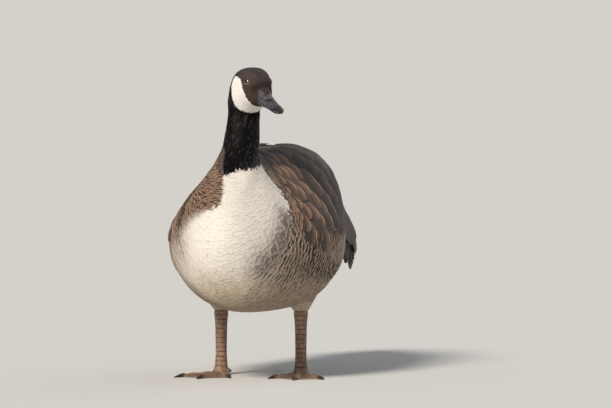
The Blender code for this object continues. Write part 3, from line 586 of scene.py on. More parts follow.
def plumage(t, v):
    """Ground colour, strength of the pale edge and depth of the dark lines at a place on the body. The dark
    lines are painted shade under each row of tips.

    The masks are worked out first, each from 0 to 1. Then the colours are laid one over the other: the breast
    and flanks over the belly's painted shade, with painted shade in the fold in front of the wing and on the
    far flank, the shoulders and back over those, then rump, neck, face and crown with painted sheen, painted
    shade before the eye, and the cheek patch."""
    t, v = as_arrays(t, v)
    turn = np.degrees(np.mod(v, TURN))
    left = turn < 180
    angle = np.where(left, turn, 360 - turn)
    ahead = t - table(CREASE, angle)
    # Painted shade in the fold: just in front of the crease on the bird's left, the breast takes the shade
    # tone.
    fold = left * ease(ahead, 1.5, 0.0) * ease(ahead, -0.15, 0.0)
    fold = fold * ease(angle, 82, 98) * ease(angle, 166, 136)
    behind = ease(table(CREASE, angle) - t, -0.02, 0.10) * left
    fade = 0.40 + 0.60 * ease(angle, 158, 122)
    flank_left = behind * fade * ease(t, 2.6, 4.2)
    flank_right = ~left * ease(angle, 192 - 3.4 * t, 102) * ease(t, 2.6, 4.2) * ease(t, 12.2, 10.0)
    flank = np.maximum(flank_left, 0.85 * flank_right)
    # Painted shade: a fifth of the darker flank tone everywhere, and nearly all of it on the bird's left next
    # to the wing.
    deep = left * ease(angle, 150, 104) * 0.75 + 0.2
    edge_angle = table(SHOULDER_EDGE, t)
    soft = 13 - 11 * ease(t, 12.4, 13.3)
    right_brown = ~left * ease(angle, edge_angle + soft * 0.5, edge_angle - soft) * ease(t, 4, 8)
    left_brown = left * (t < table(CREASE, angle)) * ease(angle, 104, 88) * ease(t, 4, 8)
    brown = np.maximum(right_brown, left_brown)
    back = ease(angle, 66, 40) * ease(t, 16, 12)
    rump = ease(angle, 92, 78) * ease(t, 3.1, 2.3)
    black = ease(t - table(NECK_EDGE, turn), -0.03, 0.03)
    f, _, u = head_place(t, v)
    # The face and crown masks lay the head's black with painted sheen.
    face = ease(t, 25.2, 26.4) * ease(u, 11, 5) * ease(angle, 20, 42)
    # Painted shade in the hollow between eye and bill.
    before_eye = np.exp(-((f - 19.5) / 4.8)**2 - ((u + 1.5) / 8.0)**2) * (t > 25)
    cheek = (t < table(CHEEK_FRONT, angle)) & (t > table(CHEEK_BACK, angle)) & (angle > 54)
    breast = blend(CREAM, BREAST_LOW, ease(angle, 120, 172) * ease(t, 11.4, 9.6))
    # The ground is the belly's painted shade: a dark brown grey for the underside.
    colour = SHADED_BELLY
    for tone, mask in (
            (breast, ease(t, 8.3, 10.0)), (VENT, ease(t, 4.2, 2.4)), (BREAST_SHADE, 0.85 * fold),
            (blend(FLANK, FLANK_SHADE, deep), flank), (SHOULDER, brown), (MANTLE, back), (RUMP, rump),
            (BLACK, black), (CROWN_WITH_SHEEN, ease(t, 23.5, 25.5)), (FACE_WITH_SHEEN, face), (HOLLOW_SHADE, 0.85 * before_eye),
            (CHEEK, cheek.astype(float))):
        colour = blend(colour, tone, mask)
    edge = np.maximum(np.maximum(flank * (1 - brown) * 0.8, brown * 0.5), back * 0.25)
    edge = edge * (1 - black) * (1 - 0.7 * rump)
    # The dark lines are painted shade under each row of tips, deepest on the head and in the fold; they also
    # set how much feathers differ in tone at random.
    lines = 0.7 * ease(t, 21, 23) + 0.10 + 0.12 * ease(t, 10.9, 9.6) + 0.6 * fold
    lines = np.maximum(lines, np.maximum(flank, brown))
    lines = lines * (1 - 0.8 * black * ease(t, 24, 21)) * (1 - 0.75 * cheek)
    return colour, edge, lines


def add_colour(mesh, name, colour):
    """Store a colour at each point of the mesh, for its material to read."""
    layer = mesh.attributes.new(name, "FLOAT_COLOR", "POINT")
    rgba = np.concatenate([colour, np.ones((len(colour), 1))], 1)
    layer.data.foreach_set("color", rgba.astype(np.float32).ravel())


def add_number(mesh, name, value):
    """Store a number at each point of the mesh."""
    layer = mesh.attributes.new(name, "FLOAT", "POINT")
    layer.data.foreach_set("value", np.asarray(value, np.float32).ravel())


print("colour in the middle of the breast:", np.round(plumage(11.0, math.pi)[0], 2))

# %% [markdown]
# Under the feathers lies one skin, from the root of the tail to the root of the bill, with both drumsticks
# in it. It sits inside the outline by the depth of the coat, thick on the body and thin on the face. It
# could be left out, but it closes every gap between feathers, with the same markings at half their
# brightness: painted shade for the depth of the coat.

# %% Skin
SKIN_ROWS, SKIN_AROUND = 230, 128
COAT_BODY, COAT_NECK, COAT_FACE = 3.0, 1.9, 0.8
# the share of the markings' brightness that the skin keeps: painted shade in the gaps of the coat
SKIN_SHADE = 0.5
THIGH_ROWS, THIGH_AROUND = 30, 48
# Rings of the drumstick, from inside the belly down to the heel: height, half width, half depth
THIGH = [(126, 23, 31), (112, 22, 29), (104, 19.5, 25), (97, 16, 20.5), (91, 12.5, 15.5), (88.2, 10.5, 12.5)]
THIGH_SLOPE, THIGH_THIN = 0.12, 0.10


def coat_depth(t):
    """How deep the feathers are: deep on the body, thin on the face."""
    return COAT_BODY + (COAT_NECK - COAT_BODY) * ease(t, 12, 16) + (COAT_FACE - COAT_NECK) * ease(t, 19, 23)


def body_lay(r, v):
    """The body read from bill to tail: r falls as t grows, so that feathers lie along r."""
    return body_surface(-np.asarray(r, float), v)


def thigh_surface(r, q):
    """The left drumstick: r runs down from the belly, q round it."""
    r, q = as_arrays(r, q)
    z, half, deep = np.moveaxis(between(THIGH, r * (len(THIGH) - 1)), -1, 0)
    s = LEG_S - THIGH_SLOPE * (z - THIGH[-1][0]) - deep * np.sin(q)
    return np.stack([LEG_X + half * np.cos(q), s, z], -1)


def joined(parts):
    """Several sets of points and faces as one, each set's face numbers moved past the points before it."""
    starts = np.cumsum([0] + [len(p) for p, _, _ in parts])
    return (np.concatenate([p for p, _, _ in parts]),
            np.concatenate([q + start for (_, q, _), start in zip(parts, starts)]),
            np.concatenate([t + start for (_, _, t), start in zip(parts, starts)]))


skin_t = np.linspace(LAST_T - 0.02, 0.02, SKIN_ROWS)[:, None]
skin_v = round_angles(SKIN_AROUND)[None, :]
p, _, _, n = surface_frame(body_lay, -skin_t, skin_v)
drumstick = thigh_surface(np.linspace(0, 1, THIGH_ROWS)[:, None], round_angles(THIGH_AROUND)[None, :])
drumstick = drumstick - (drumstick - drumstick.mean(1, keepdims=True)) * THIGH_THIN
skin_mesh = fill_mesh("skin", *joined([tube_parts(p - n * coat_depth(skin_t)[..., None], flip=True),
                                       tube_parts(drumstick, flip=True),
                                       tube_parts(mirrored(drumstick, -1), flip=False)]))
skin_tone = plumage(skin_t, skin_v)[0].reshape(-1, 3)
# The skin of the drumsticks takes the belly's painted shade.
thigh_tone = np.tile([SHADED_BELLY], (2 * (THIGH_ROWS * THIGH_AROUND + 2), 1))
skin_tone = np.concatenate([skin_tone, skin_tone[:1], skin_tone[-1:], thigh_tone]) * SKIN_SHADE
add_colour(skin_mesh, "tone", skin_tone)
skin_paint = Paint("skin", Roughness=0.85)
skin_paint.feed("Base Color", skin_paint.attribute("tone", "Color"))
skin_paint.bump(skin_paint.noise(300.0), 0.0004, 0.5)
place_piece("skin", skin_mesh, skin_paint.material, "body_plumage", "torso", "neck", "head",
            "thigh_left", "thigh_right")
print("skin faces:", len(skin_mesh.polygons))

# %% [markdown]
# Feathers grow in rows that lie across their own direction, like tiles on a roof. To set them evenly on a
# body that bends, distances are measured on the surface itself: a count that grows by one for each row
# spacing says which row a place belongs to, and along each row the places are shared out the same way.
# Scattering them by chance would be simpler, but it leaves holes and heaps.

# %% Rows of roots
FINE_R, FINE_Q = 900, 260               # how finely the surface is read before the rows are laid


def row_places(lay, start, end, low, high, spacing, pitch, rng, jitter=0.12, shuffle=0.14):
    """Places (r, q) on a surface, in rows a spacing apart, a pitch times that apart along each row.

    The jitter moves a root out of its row, the shuffle moves it along, both as shares of the spacing."""
    r = np.linspace(start, end, FINE_R)[:, None]
    q = np.linspace(low, high, FINE_Q)[None, :]
    steps = np.linalg.norm(np.diff(lay(r, q), axis=0), axis=-1)
    gap = spacing((r[1:] + r[:-1]) / 2, q)
    count = np.concatenate([np.zeros((1, FINE_Q)), np.cumsum(steps / gap, 0)])
    column = np.arange(FINE_Q)
    out_r, out_q = [], []
    for level in np.arange(0.5, count.max(), 1.0):
        i = np.clip((count < level).sum(0), 1, FINE_R - 1)
        reached = count[-1] >= level
        share = (level - count[i - 1, column]) / np.maximum(count[i, column] - count[i - 1, column], 1e-9)
        row_r = r[i - 1, 0] + np.clip(share, 0, 1) * (r[i, 0] - r[i - 1, 0])
        row = lay(row_r, q[0])
        run = np.linalg.norm(np.diff(row, axis=0), axis=-1) / (pitch * spacing(row_r, q[0]))[:-1]
        across = np.concatenate([[0.0], np.cumsum(run * (reached[1:] & reached[:-1]))])
        n = int(across[-1])
        if n < 2:
            continue
        at = np.arange(n) + 0.25 + 0.5 * (int(level) % 2) + rng.uniform(-shuffle, shuffle, n)
        at = at * across[-1] / n
        out_r.append(np.interp(at, across, row_r))
        out_q.append(np.interp(at, across, q[0]))
    r_at, q_at = np.concatenate(out_r), np.concatenate(out_q)
    slope = np.linalg.norm(surface_frame(lay, r_at, q_at)[1], axis=-1)
    return r_at + rng.uniform(-jitter, jitter, len(r_at)) * spacing(r_at, q_at) / slope, q_at


def even(gap):
    """A spacing that is the same everywhere."""
    return lambda r, q: gap + 0 * (r + q)


def varied(pairs, sign=1):
    """A spacing read from a table by the first surface number, or by that number with its sign turned."""
    return lambda r, q: table(pairs, sign * r) + 0 * q


print("surface read at", FINE_R * FINE_Q, "places")

# %% [markdown]
# One feather is a thin leaf with a raised middle and a flat underside that closes it. It is laid on the bird
# by walking along the surface from its root, so it bends with the body. Thousands are worked out at once.
# Its root lies deep in the coat and its tip on top, as a tile does, so each shows only its last part.

# %% A feather's points


def into_surface(direction, pr, pq):
    """The change in the two surface numbers that moves a point by this direction.

    It solves two equations: how far each slope goes along the direction, with the slopes' own products."""
    e, f, g = (pr * pr).sum(-1), (pr * pq).sum(-1), (pq * pq).sum(-1)
    a, b = (direction * pr).sum(-1), (direction * pq).sum(-1)
    area = np.maximum(e * g - f * f, 1e-6)
    return (a * g - b * f) / area, (b * e - a * f) / area


def plumes(lay, r, q, length, half, leaf, sink, rise, camber, turn, columns, curve):
    """Points of many feathers, and the places on the surface that each column's tip covers.

    The leaf lists each station's share of the length and share of the half width. The height over the
    surface goes from sink to rise as a power of the share of the length; a point beside the middle is lower
    by the camber times the square of its place across."""
    r, q = np.array(r, float), np.array(q, float)
    own = np.broadcast_arrays(length, half, sink, rise, camber, turn, r)
    length, half, sink, rise, camber, turn = own[:6]
    rows = []
    columns = np.linspace(-1, 1, columns)
    for k, (share, width) in enumerate(leaf):
        _, pr, pq, n = surface_frame(lay, r, q)
        along = pr / np.linalg.norm(pr, axis=-1, keepdims=True)
        side = np.cross(n, along)
        a = turn[:, None]
        forward, sideways = along * np.cos(a) + side * np.sin(a), side * np.cos(a) - along * np.sin(a)
        dr, dq = into_surface(sideways, pr, pq)
        lift = sink + (rise - sink) * share**curve
        reach = half[:, None] * columns
        tips = r[:, None] + dr[:, None] * reach, q[:, None] + dq[:, None] * reach
        for c in columns:
            far = c * half * width
            pc, _, _, nc = surface_frame(lay, r + dr * far, q + dq * far)
            rows.append(pc + nc * (lift - camber * width * c * c)[:, None])
        if k + 1 < len(leaf):
            dr, dq = into_surface(forward, pr, pq)
            step = length * (leaf[k + 1][0] - share)
            r, q = r + dr * step, q + dq * step
    return np.stack(rows, 1).reshape(len(r), len(leaf), len(columns), 3), tips


print("slopes along x and y make the move", into_surface(np.ones(3), np.eye(3)[0], np.eye(3)[1]))

# %% [markdown]
# A leaf is a row of stations from root to tip: how far along, and how wide. Small feathers are short and
# blunt, the silky ones of the neck end in a point, and the flight feathers are long with a rounded end.
# They have only a few stations, since a feather that is repeated thousands of times must have few faces.

# %% Leaves
BODY_LEAF = [(0.0, 0.4), (0.5, 0.85), (0.84, 1.0), (0.95, 0.84), (1.0, 0.48)]
SILK_LEAF = [(0.0, 0.5), (0.5, 1.0), (0.85, 0.72), (1.0, 0.12)]
COVERT_LEAF = [(0.0, 0.4), (0.35, 0.85), (0.66, 1.0), (0.83, 0.97), (0.92, 0.84), (0.97, 0.62), (1.0, 0.28)]
QUILL_LEAF = [(0.0, 0.35), (0.15, 0.6), (0.35, 0.85), (0.6, 1.0), (0.8, 0.98), (0.92, 0.78), (0.98, 0.45),
              (1.0, 0.15)]
POINT_LEAF = [(0.0, 0.6), (0.2, 0.9), (0.45, 1.0), (0.7, 0.85), (0.86, 0.6), (0.95, 0.35), (1.0, 0.08)]
FAN_LEAF = [(0.0, 0.5), (0.3, 0.8), (0.6, 0.95), (0.85, 1.0), (0.95, 0.85), (0.99, 0.55), (1.0, 0.3)]
print("stations of a body feather:", len(BODY_LEAF), "of a covert:", len(COVERT_LEAF))

# %% [markdown]
# Each feather carries its own numbers for the paint: its ground colour, how far a point is from its sides and
# from its tip, how strong its pale edge and its dark base are, and a chance that sets it off from the next.
# It also has a small patch on the map of the coat, at the place where its root stands.

# %% Many feathers in one mesh
PATCH = 0.003                           # size of a feather's patch on the map
MARGIN = 0.01                           # room left free round the map


def feather_mesh(name, points, chart, leaf, length, half, flip, **numbers):
    """Join feathers in one mesh, each a closed leaf. Length and half width are in gaps between rows."""
    n, k, m = points.shape[:3]
    i = np.arange(k - 1) * m
    under = np.stack([i + m - 1, i + 2 * m - 1, i + m, i], -1)
    last = (k - 1) * m
    fans = [[0, j, j + 1] for j in range(1, m - 1)]
    fans = fans + [[last, last + j + 1, last + j] for j in range(1, m - 1)]
    base = (np.arange(n) * k * m)[:, None, None]
    quads = (np.concatenate([grid_faces(k, m, False), under])[None] + base).reshape(-1, 4)
    tris = (np.array(fans)[None] + base).reshape(-1, 3)
    if flip:
        quads, tris = quads[:, ::-1], tris[:, ::-1]
    mesh = fill_mesh(name, points, quads, tris)
    share, width = (np.array(column)[None, :, None] for column in zip(*leaf))
    across = np.linspace(-1, 1, m)[None, None, :]
    whole = np.zeros((n, k, m))
    add_number(mesh, "side", (1 - np.abs(across)) * width * half[:, None, None] + whole)
    add_number(mesh, "tip", (1 - share) * length[:, None, None] + whole)
    add_number(mesh, "across", across + whole)
    for key, value in numbers.items():
        if key == "tone":
            add_colour(mesh, key, (value[:, None] + whole[..., None]).reshape(-1, 3))
        else:
            add_number(mesh, key, value[:, None] + whole)
    u, v = chart
    place = np.stack([u[:, None, None] + across * PATCH / 2 + whole,
                      v[:, None, None] + (share - 0.5) * PATCH + whole], -1)
    corner = np.zeros(len(mesh.loops), np.int32)
    mesh.loops.foreach_get("vertex_index", corner)
    layer = mesh.uv_layers.new(name="OFBake")
    layer.data.foreach_set("uv", place.reshape(-1, 2)[corner].astype(np.float32).ravel())
    print(name, n, "feathers,", len(quads) * 2 + len(tris), "triangles")
    return mesh


def unwrap(lay, start, end, low, high):
    """Chart of a surface: across it as a share of the range, along it as a share of the mean length."""
    r = np.linspace(start, end, 300)
    points = lay(r[:, None], np.linspace(low, high, 24)[None, :])
    length = np.concatenate([[0], np.cumsum(np.linalg.norm(np.diff(points, axis=0), axis=-1).mean(1))])

    def chart(r_at, q_at):
        turned = np.mod(q_at - low, TURN) if high - low >= TURN else q_at - low
        along = np.interp(r_at, r, length / length[-1])
        return MARGIN + (1 - 2 * MARGIN) * turned / (high - low), MARGIN + (1 - 2 * MARGIN) * along
    return chart


def coat(name, lay, chart, r, q, gap, length, leaf, paint, slot, look, rng, sink, rise=0.0, half=1.45,
         camber=0.04, turn=0.1, lean=0.0, columns=3, curve=0.35, side=1):
    """Feathers at the places (r, q), each with the colour, edge and lines that look gives for its tip.

    The half width and the camber are shares of the gap. Feathers point the lean away from the lie, and
    their directions vary by the turn."""
    n = len(r)
    gap, length, half = gap + np.zeros(n), length + np.zeros(n), half + np.zeros(n)
    points, tips = plumes(lay, r, q, length, half * gap, leaf, sink, rise, camber * gap,
                          lean + rng.normal(0, 1, n) * turn, columns, curve)
    colour, edge, lines = look(*tips)
    whole = np.zeros((n, columns))
    mesh = feather_mesh(name, mirrored(points, side), chart(r, q), leaf, length / gap, half, side < 0,
                        tone=colour + whole[..., None], edge=edge + whole, lines=lines + whole,
                        chance=rng.uniform(0, 1, (n, 1)) + whole)
    place_piece(name, mesh, paint, slot)


print("a feather's patch on the map:", PATCH)

# %% [markdown]
# Every coat piece wears one kind of material. The ground colour comes with the feather. A pale fringe follows
# its outline, its base is darkened where the next feather covers it, as painted shade under that feather's
# tip, fine barbs run out from the shaft, and a chance makes one feather lighter than the next. Noise keeps
# the fringe from being a drawn line.
# The fringe dies away along the sides, so that a row of tips reads as one long fine line.

# %% Feather material


def feather_paint(name, fringe, wide, base, rough=0.75, sheen=0.08, barbs=45.0, shine=0.2):
    """A feather's material: the fringe has this colour and width, in gaps between rows, and the base this
    darkness, painted shade where the next feather covers it."""
    paint = Paint(name, Roughness=rough, Sheen_Weight=sheen, Sheen_Roughness=0.5, Specular_IOR_Level=shine)
    side, tip, across = paint.attribute("side"), paint.attribute("tip"), paint.attribute("across")
    edge, lines, chance = paint.attribute("edge"), paint.attribute("lines"), paint.attribute("chance")
    beside = across.math("ABSOLUTE")
    ragged = (paint.noise(700.0, 2.0) - 0.5) * wide
    near = (side + tip * 0.5).math("MINIMUM", tip) + ragged
    pale = (1 - near.step(wide * 0.55, wide * 1.35)) * edge
    # Painted shade: the base darkens where the next row's tips lie over it.
    dark = 1 - tip.step(0.5, 1.0) * lines * base
    barb = ((beside * 0.35 + tip) * barbs).math("SINE")
    shaft = 1 - (1 - beside.step(0.02, 0.10)) * edge * 0.22
    vary = (chance - 0.5) * (lines * 0.30 + 0.05) + 1.0
    shade = dark * shaft * vary * (barb * 0.05 + 1.0)
    grey = paint.node("ShaderNodeCombineColor", {}, [shade, shade, shade])
    toned = paint.mix(1.0, paint.attribute("tone", "Color"), grey, "MULTIPLY")
    paint.feed("Base Color", paint.mix(pale, toned, fringe))
    paint.bump(barb * 0.5 + paint.noise(1500.0, 2.0), 0.00014, 0.45)
    return paint.material


soft_paint = feather_paint("soft_plumage", (0.66, 0.52, 0.37), wide=0.27, base=0.75)
# Only the glinting black feathers get an edge here, so this pale fringe is a painted highlight.
silk_paint = feather_paint("silk_plumage", (0.12, 0.105, 0.105), wide=2.5, base=0.6, rough=0.5, sheen=0.0,
                           barbs=20.0, shine=0.10)
covert_paint = feather_paint("covert_plumage", (0.70, 0.46, 0.27), wide=0.12, base=0.72, rough=0.62,
                             barbs=170.0)
quill_paint = feather_paint("quill_plumage", (0.25, 0.18, 0.14), wide=0.07, base=0.3, rough=0.5, barbs=170.0)
print("materials so far:", [material.name for material in bpy.data.materials])

# %% [markdown]
# Each folded wing is a broad shield on the bird's side. Its surface has its own rings, and two numbers of
# its own: a from the shoulder to the tips, b from the back down to the flank. One form serves for both wings,
# because the right one is the left one mirrored.

# %% The form of the wings
WING_RINGS = [
    (556, 146, 556, 98, 50, 0.25, 2.0, 2.0), (520, 184, 520, 104, 60, 0.40, 2.0, 2.2),
    (478, 232, 470, 112, 73.5, 0.45, 2.2, 2.3), (440, 262, 432, 118, 77, 0.34, 2.4, 2.4),
    (395, 288, 388, 118, 81, 0.22, 2.6, 2.4), (350, 301, 342, 106, 90, 0.14, 2.8, 2.5),
    (300, 306, 288, 92, 100, 0.14, 2.7, 2.5), (255, 305, 235, 85, 109, 0.24, 2.4, 2.4),
    (216, 304, 179, 82, 112, 0.40, 2.2, 2.3), (190, 304, 123, 87, 108, 0.48, 2.1, 2.2),
    (173, 305, 78, 100, 99, 0.50, 2.0, 2.2), (161, 306, 43, 121, 85.5, 0.50, 2.0, 2.0),
    (152, 308, 16, 150, 68, 0.50, 2.0, 2.0),
]
WING_TOP = [(0.0, 34), (0.15, 26), (0.3, 15), (0.62, 14), (0.81, 27), (0.91, 70), (1.0, 82)]
WING_LOW = [(0.0, 100), (0.18, 101), (0.33, 100), (0.5, 104), (0.67, 109), (0.83, 106), (1.0, 95)]


def wing_surface(a, b):
    """The left wing's outer face: its rings are read from back to belly between two angles."""
    a, b = as_arrays(a, b)
    top, low = table(WING_TOP, a), table(WING_LOW, a)
    return section(between(WING_RINGS, (len(WING_RINGS) - 1) * (1 - a)), np.radians(top + (low - top) * b))


def beside_wing(t, v):
    """Where a place on the body lies beside the wing: the wing's a, and the angle from the top."""
    turn = np.degrees(np.mod(v, TURN))
    return 1 - (t + 1) / (len(WING_RINGS) - 1), np.where(turn < 180, turn, 360 - turn)


print("wing rings:", len(WING_RINGS))

# %% [markdown]
# The eye looks outwards, a little forward and up. Its own three directions say where the lids lie, and keep
# the feathers of the face clear of them. The same sums serve for both eyes, by the distance from the middle.

# %% Where the eye lies
EYE_AT = np.array([4.4, 14.2, 0.8])     # middle of the left eyeball, forward, left and up
EYE_LOOK = np.array([0.376, 0.855, 0.359])
LID_LONG, LID_HIGH, LID_REACH = 1.06, 0.9, 5.0


def eye_axes():
    """The eye's own directions: out along its look, forward along the lids, and up."""
    look = EYE_LOOK / np.linalg.norm(EYE_LOOK)
    along = np.cross(look, [0.0, 0.0, 1.0])
    along /= np.linalg.norm(along)
    return look, along, np.cross(along, look)


def lid_place(t, v):
    """A place on the head seen along the nearer eye's look: forward and up from it, and how far out."""
    f, l, u = head_place(t, v)
    apart = np.stack([f, np.abs(l), u], -1) - EYE_AT
    look, along, up = eye_axes()
    return apart @ along / LID_LONG, apart @ up / LID_HIGH, apart @ look


print("eye axes:", [np.round(axis, 2).tolist() for axis in eye_axes()])

# %% [markdown]
# The long flank feathers rise over the lower edge of the wing, and those of the breast over its front edge,
# so that the wing looks tucked into them. The head and the front of the breast lie flat, where the outline
# is closest. A few black feathers of the neck stand up, and a pale edge on them is a painted highlight for
# the light they catch.

# %% Look and height of the coat
FLANK_LIFT, BREAST_LIFT = 4.4, 2.4
FRONT_DROP, CROWN_DROP = 1.1, 0.35
# The glinting feathers carry a pale edge as a painted highlight.
GLINT_SHARE, GLINT_EDGE = 0.085, 0.22
GLINT_LOW, GLINT_HIGH = 14.6, 22.5      # rings between which the glinting feathers stand


def body_look(r, v):
    """The plumage at a place, with the black of the neck breaking up in strands at its lower end."""
    stray = np.sin(v * 131 + r * 23) * np.sin(v * 67 - r * 41)
    return plumage(-r + 0.13 * stray * ease(-r, 12.5, 13.5), v)


def glinting(colour, edge, lines, glint):
    """The same look, with a painted highlight: a pale edge on the black feathers that stand up."""
    black = colour.sum(-1) < 0.03
    return colour, edge + GLINT_EDGE * black * glint[:, None], lines


def body_rise(t, v):
    """How much higher the feathers lie along the wing's lower edge and in front of the fold."""
    a, angle = beside_wing(t, v)
    edge = table(WING_LOW, a)
    flank = ease(angle, edge + 26, edge + 8) * ease(angle, edge - 16, edge - 5)
    flank = flank * ease(t, 3.2, 5.0) * ease(t, 10.1, 7.3)
    ahead = t - table(CREASE, angle)
    breast = ease(ahead, -0.5, 0.1) * ease(ahead, 1.4, 0.3) * ease(angle, 60, 75)
    flat = FRONT_DROP * ease(t, 9.6, 10.6) * ease(t, 14.6, 13.4) + CROWN_DROP * ease(t, 23, 25)
    return -flat + FLANK_LIFT * flank + BREAST_LIFT * breast


print("rise beside the wing:", round(float(body_rise(6.0, math.radians(115))), 2))

# %% [markdown]
# The coat of the body, neck and head is one tract, from the bill down to the tail. Rows are closest on the
# face and widest on the rump. No feather stands where the folded wing would hide it, or on the eye.
# Feathers in front of the eye are kept short, so that they end at the lids.

# %% Roots of the coat
BODY_PITCH, NECK_PITCH = 2.2, 1.3
NECK_START = 15.2                       # below it feathers are broad, above it narrow and silky
# Row spacing and feather length over the ring number, from the tail to the bill
SPACING = [(0, 4.8), (6, 4.2), (9, 3.7), (12, 3.1), (14.5, 2.6), (16, 2.2), (19, 2.0), (22, 1.6), (27, 1.25),
           (30, 1.1)]
LENGTHS = [(0, 26), (6, 23), (9, 18), (12, 14), (14.5, 11), (16, 9), (19, 7.5), (22, 5), (27, 3.2), (30, 2.0)]
rng = np.random.default_rng(5)
body_spacing = varied(SPACING, -1)
body_chart = unwrap(body_lay, -LAST_T, 0.0, 0.0, TURN)
silk = row_places(body_lay, -LAST_T + 0.03, -NECK_START, 0.0, TURN, body_spacing, NECK_PITCH, rng)
broad = row_places(body_lay, -NECK_START, -1.15, 0.0, TURN, body_spacing, BODY_PITCH, rng)
coat_r, coat_v = (np.concatenate(pair) for pair in zip(silk, broad))
coat_t = -coat_r
a, angle = beside_wing(coat_t, coat_v)
share = (angle - table(WING_TOP, a)) / (table(WING_LOW, a) - table(WING_TOP, a))
hidden = (a > 0.10) & (a < 0.9) & (share > 0.12) & (share < 0.66)
forward, over, out = lid_place(coat_t, coat_v)
on_face = (coat_t > 22) & (out > 0)
hidden |= on_face & (np.hypot(forward, over) < LID_REACH)
lengths = table(LENGTHS, coat_t) * rng.uniform(0.88, 1.12, len(coat_t))
to_lid = forward - np.sqrt(np.clip(LID_REACH**2 - over**2, 0, None))
before_eye = on_face & (np.abs(over) < LID_REACH) & (forward > 0)
lengths = np.where(before_eye, np.minimum(lengths, np.maximum(to_lid + 0.3, 0.7)), lengths)
lift = body_rise(coat_t, coat_v)
glint = (rng.uniform(0, 1, len(coat_t)) < GLINT_SHARE) & (coat_t > GLINT_LOW) & (coat_t < GLINT_HIGH)
print("roots:", len(coat_t), "hidden by wings and eyes:", int(hidden.sum()))

# %% [markdown]
# The tract is cut into six pieces, so that none grows too large to handle. The broad feathers of the body
# and the narrow ones of the neck are both about a third wider than their pitch along the row, so each
# overlaps the next one at its side.

# %% Coat of the body
BROAD_HALF, SILK_HALF = 1.45, 0.9       # half widths, in gaps between rows
for name, low, high, leaf, paint, slot, wobble, half in (
        ("rump_feathers", 0.0, 6.0, BODY_LEAF, soft_paint, "body_plumage", 0.07, BROAD_HALF),
        ("flank_feathers", 6.0, 9.6, BODY_LEAF, soft_paint, "body_plumage", 0.07, BROAD_HALF),
        ("breast_feathers", 9.6, 12.6, BODY_LEAF, soft_paint, "body_plumage", 0.05, BROAD_HALF),
        ("collar_feathers", 12.6, NECK_START, BODY_LEAF, soft_paint, "body_plumage", 0.05, BROAD_HALF),
        ("neck_feathers", NECK_START, 21.0, SILK_LEAF, silk_paint, "black_plumage", 0.14, SILK_HALF),
        ("head_feathers", 21.0, LAST_T + 1, SILK_LEAF, silk_paint, "black_plumage", 0.05, SILK_HALF)):
    keep = (coat_t > low) & (coat_t <= high) & ~hidden
    t, v = coat_t[keep], coat_v[keep]
    coat(name, body_lay, body_chart, -t, v, table(SPACING, t), lengths[keep], leaf, paint, slot,
         lambda r, q: glinting(*body_look(r, q), glint[keep]), rng,
         sink=-coat_depth(t) + 0.7 * lift[keep] + 1.3 * glint[keep],
         rise=lift[keep] + rng.uniform(-wobble, wobble, len(t)) + 0.25 * glint[keep],
         half=half * (1 - 0.62 * glint[keep]), turn=0.05 if half > 1 else 0.14)

# %% [markdown]
# The wing's coverts lie over a thin shield. They are small at the shoulder and grow to broad scales with buff
# edges, in rows that curve round the wing. The rows run on under the feathers of the back. Both wings draw
# their chances from the same start, so the right one is the left one's mirror image.

# %% Wing base and coverts
WING_SPACING = [(0.0, 6.5), (0.05, 10.0), (0.1, 13.0), (0.2, 16.5), (0.4, 19.0), (0.7, 20.0)]
BASE_SINK, WING_SINK = 4.6, -5.0
WARM, DUN, BROWN_DARK = (0.215, 0.104, 0.054), (0.105, 0.056, 0.038), (0.068, 0.042, 0.036)
LOW_EDGE = (0.17, 0.115, 0.085)
UNDER_BACK = -0.12                      # the b at which the rows of coverts start, under the back
wing_chart = unwrap(wing_surface, 0.0, 1.0, UNDER_BACK, 1.0)
base_a, base_b = np.linspace(0.06, 0.93, 60)[:, None], np.linspace(0.02, 0.98, 40)[None, :]
p, _, _, n = surface_frame(wing_surface, base_a, base_b)
thick = 14 - 10 * ease(base_a, 0.5, 0.78)
base_rows = np.concatenate([p - BASE_SINK * n, (p - n * (BASE_SINK + thick[..., None]))[:, ::-1]], 1)
base_paint = Paint("wing_base", Roughness=0.8)
BASE_TONES = (0.028, 0.020, 0.016), (0.060, 0.042, 0.032)
base_paint.feed("Base Color", base_paint.mix(base_paint.noise(90.0), *BASE_TONES))


def wing_look(a, b):
    """Warm brown on the shoulder, dark greyish brown over the back and towards the tips."""
    warm = ease(b, 0.02, 0.20) * ease(a, 0.40, 0.27) * ease(b, 1.05, 0.75)
    colour = blend(BROWN_DARK, DUN, ease(b, 0.0, 0.25) * ease(a, 0.5, 0.3))
    colour = blend(colour, WARM, warm)
    colour = blend(colour, LOW_EDGE, ease(b, 0.74, 0.92) * ease(a, 0.6, 0.35))
    return colour, 0.95 - 0.6 * ease(b, 0.35, 0.0) - 0.6 * ease(a, 0.28, 0.5), 0.9 + 0 * a


for side, word in SIDES:
    wing_rng = np.random.default_rng(21)
    base_mesh = tube(f"wing_base_{word}", mirrored(base_rows, side), flip=side > 0)
    place_piece(f"wing_base_{word}", base_mesh, base_paint.material, "wing_plumage", f"wing_{word}")
    a, b = row_places(wing_surface, 0.0, 0.70, UNDER_BACK, 0.95, varied(WING_SPACING), 1.9, wing_rng,
                      jitter=0.10, shuffle=0.12)
    gap = table(WING_SPACING, a)
    under_back = -4.5 * ease(b, 0.04, -0.10)
    coat(f"wing_coverts_{word}", wing_surface, wing_chart, a, b, gap,
         gap * wing_rng.uniform(3.3, 3.8, len(a)), COVERT_LEAF, covert_paint, "wing_plumage", wing_look,
         wing_rng, sink=WING_SINK + under_back, rise=under_back + wing_rng.uniform(-0.2, 0.25, len(a)),
         half=1.2, camber=0.07, turn=0.04, columns=7, curve=0.6, side=side)

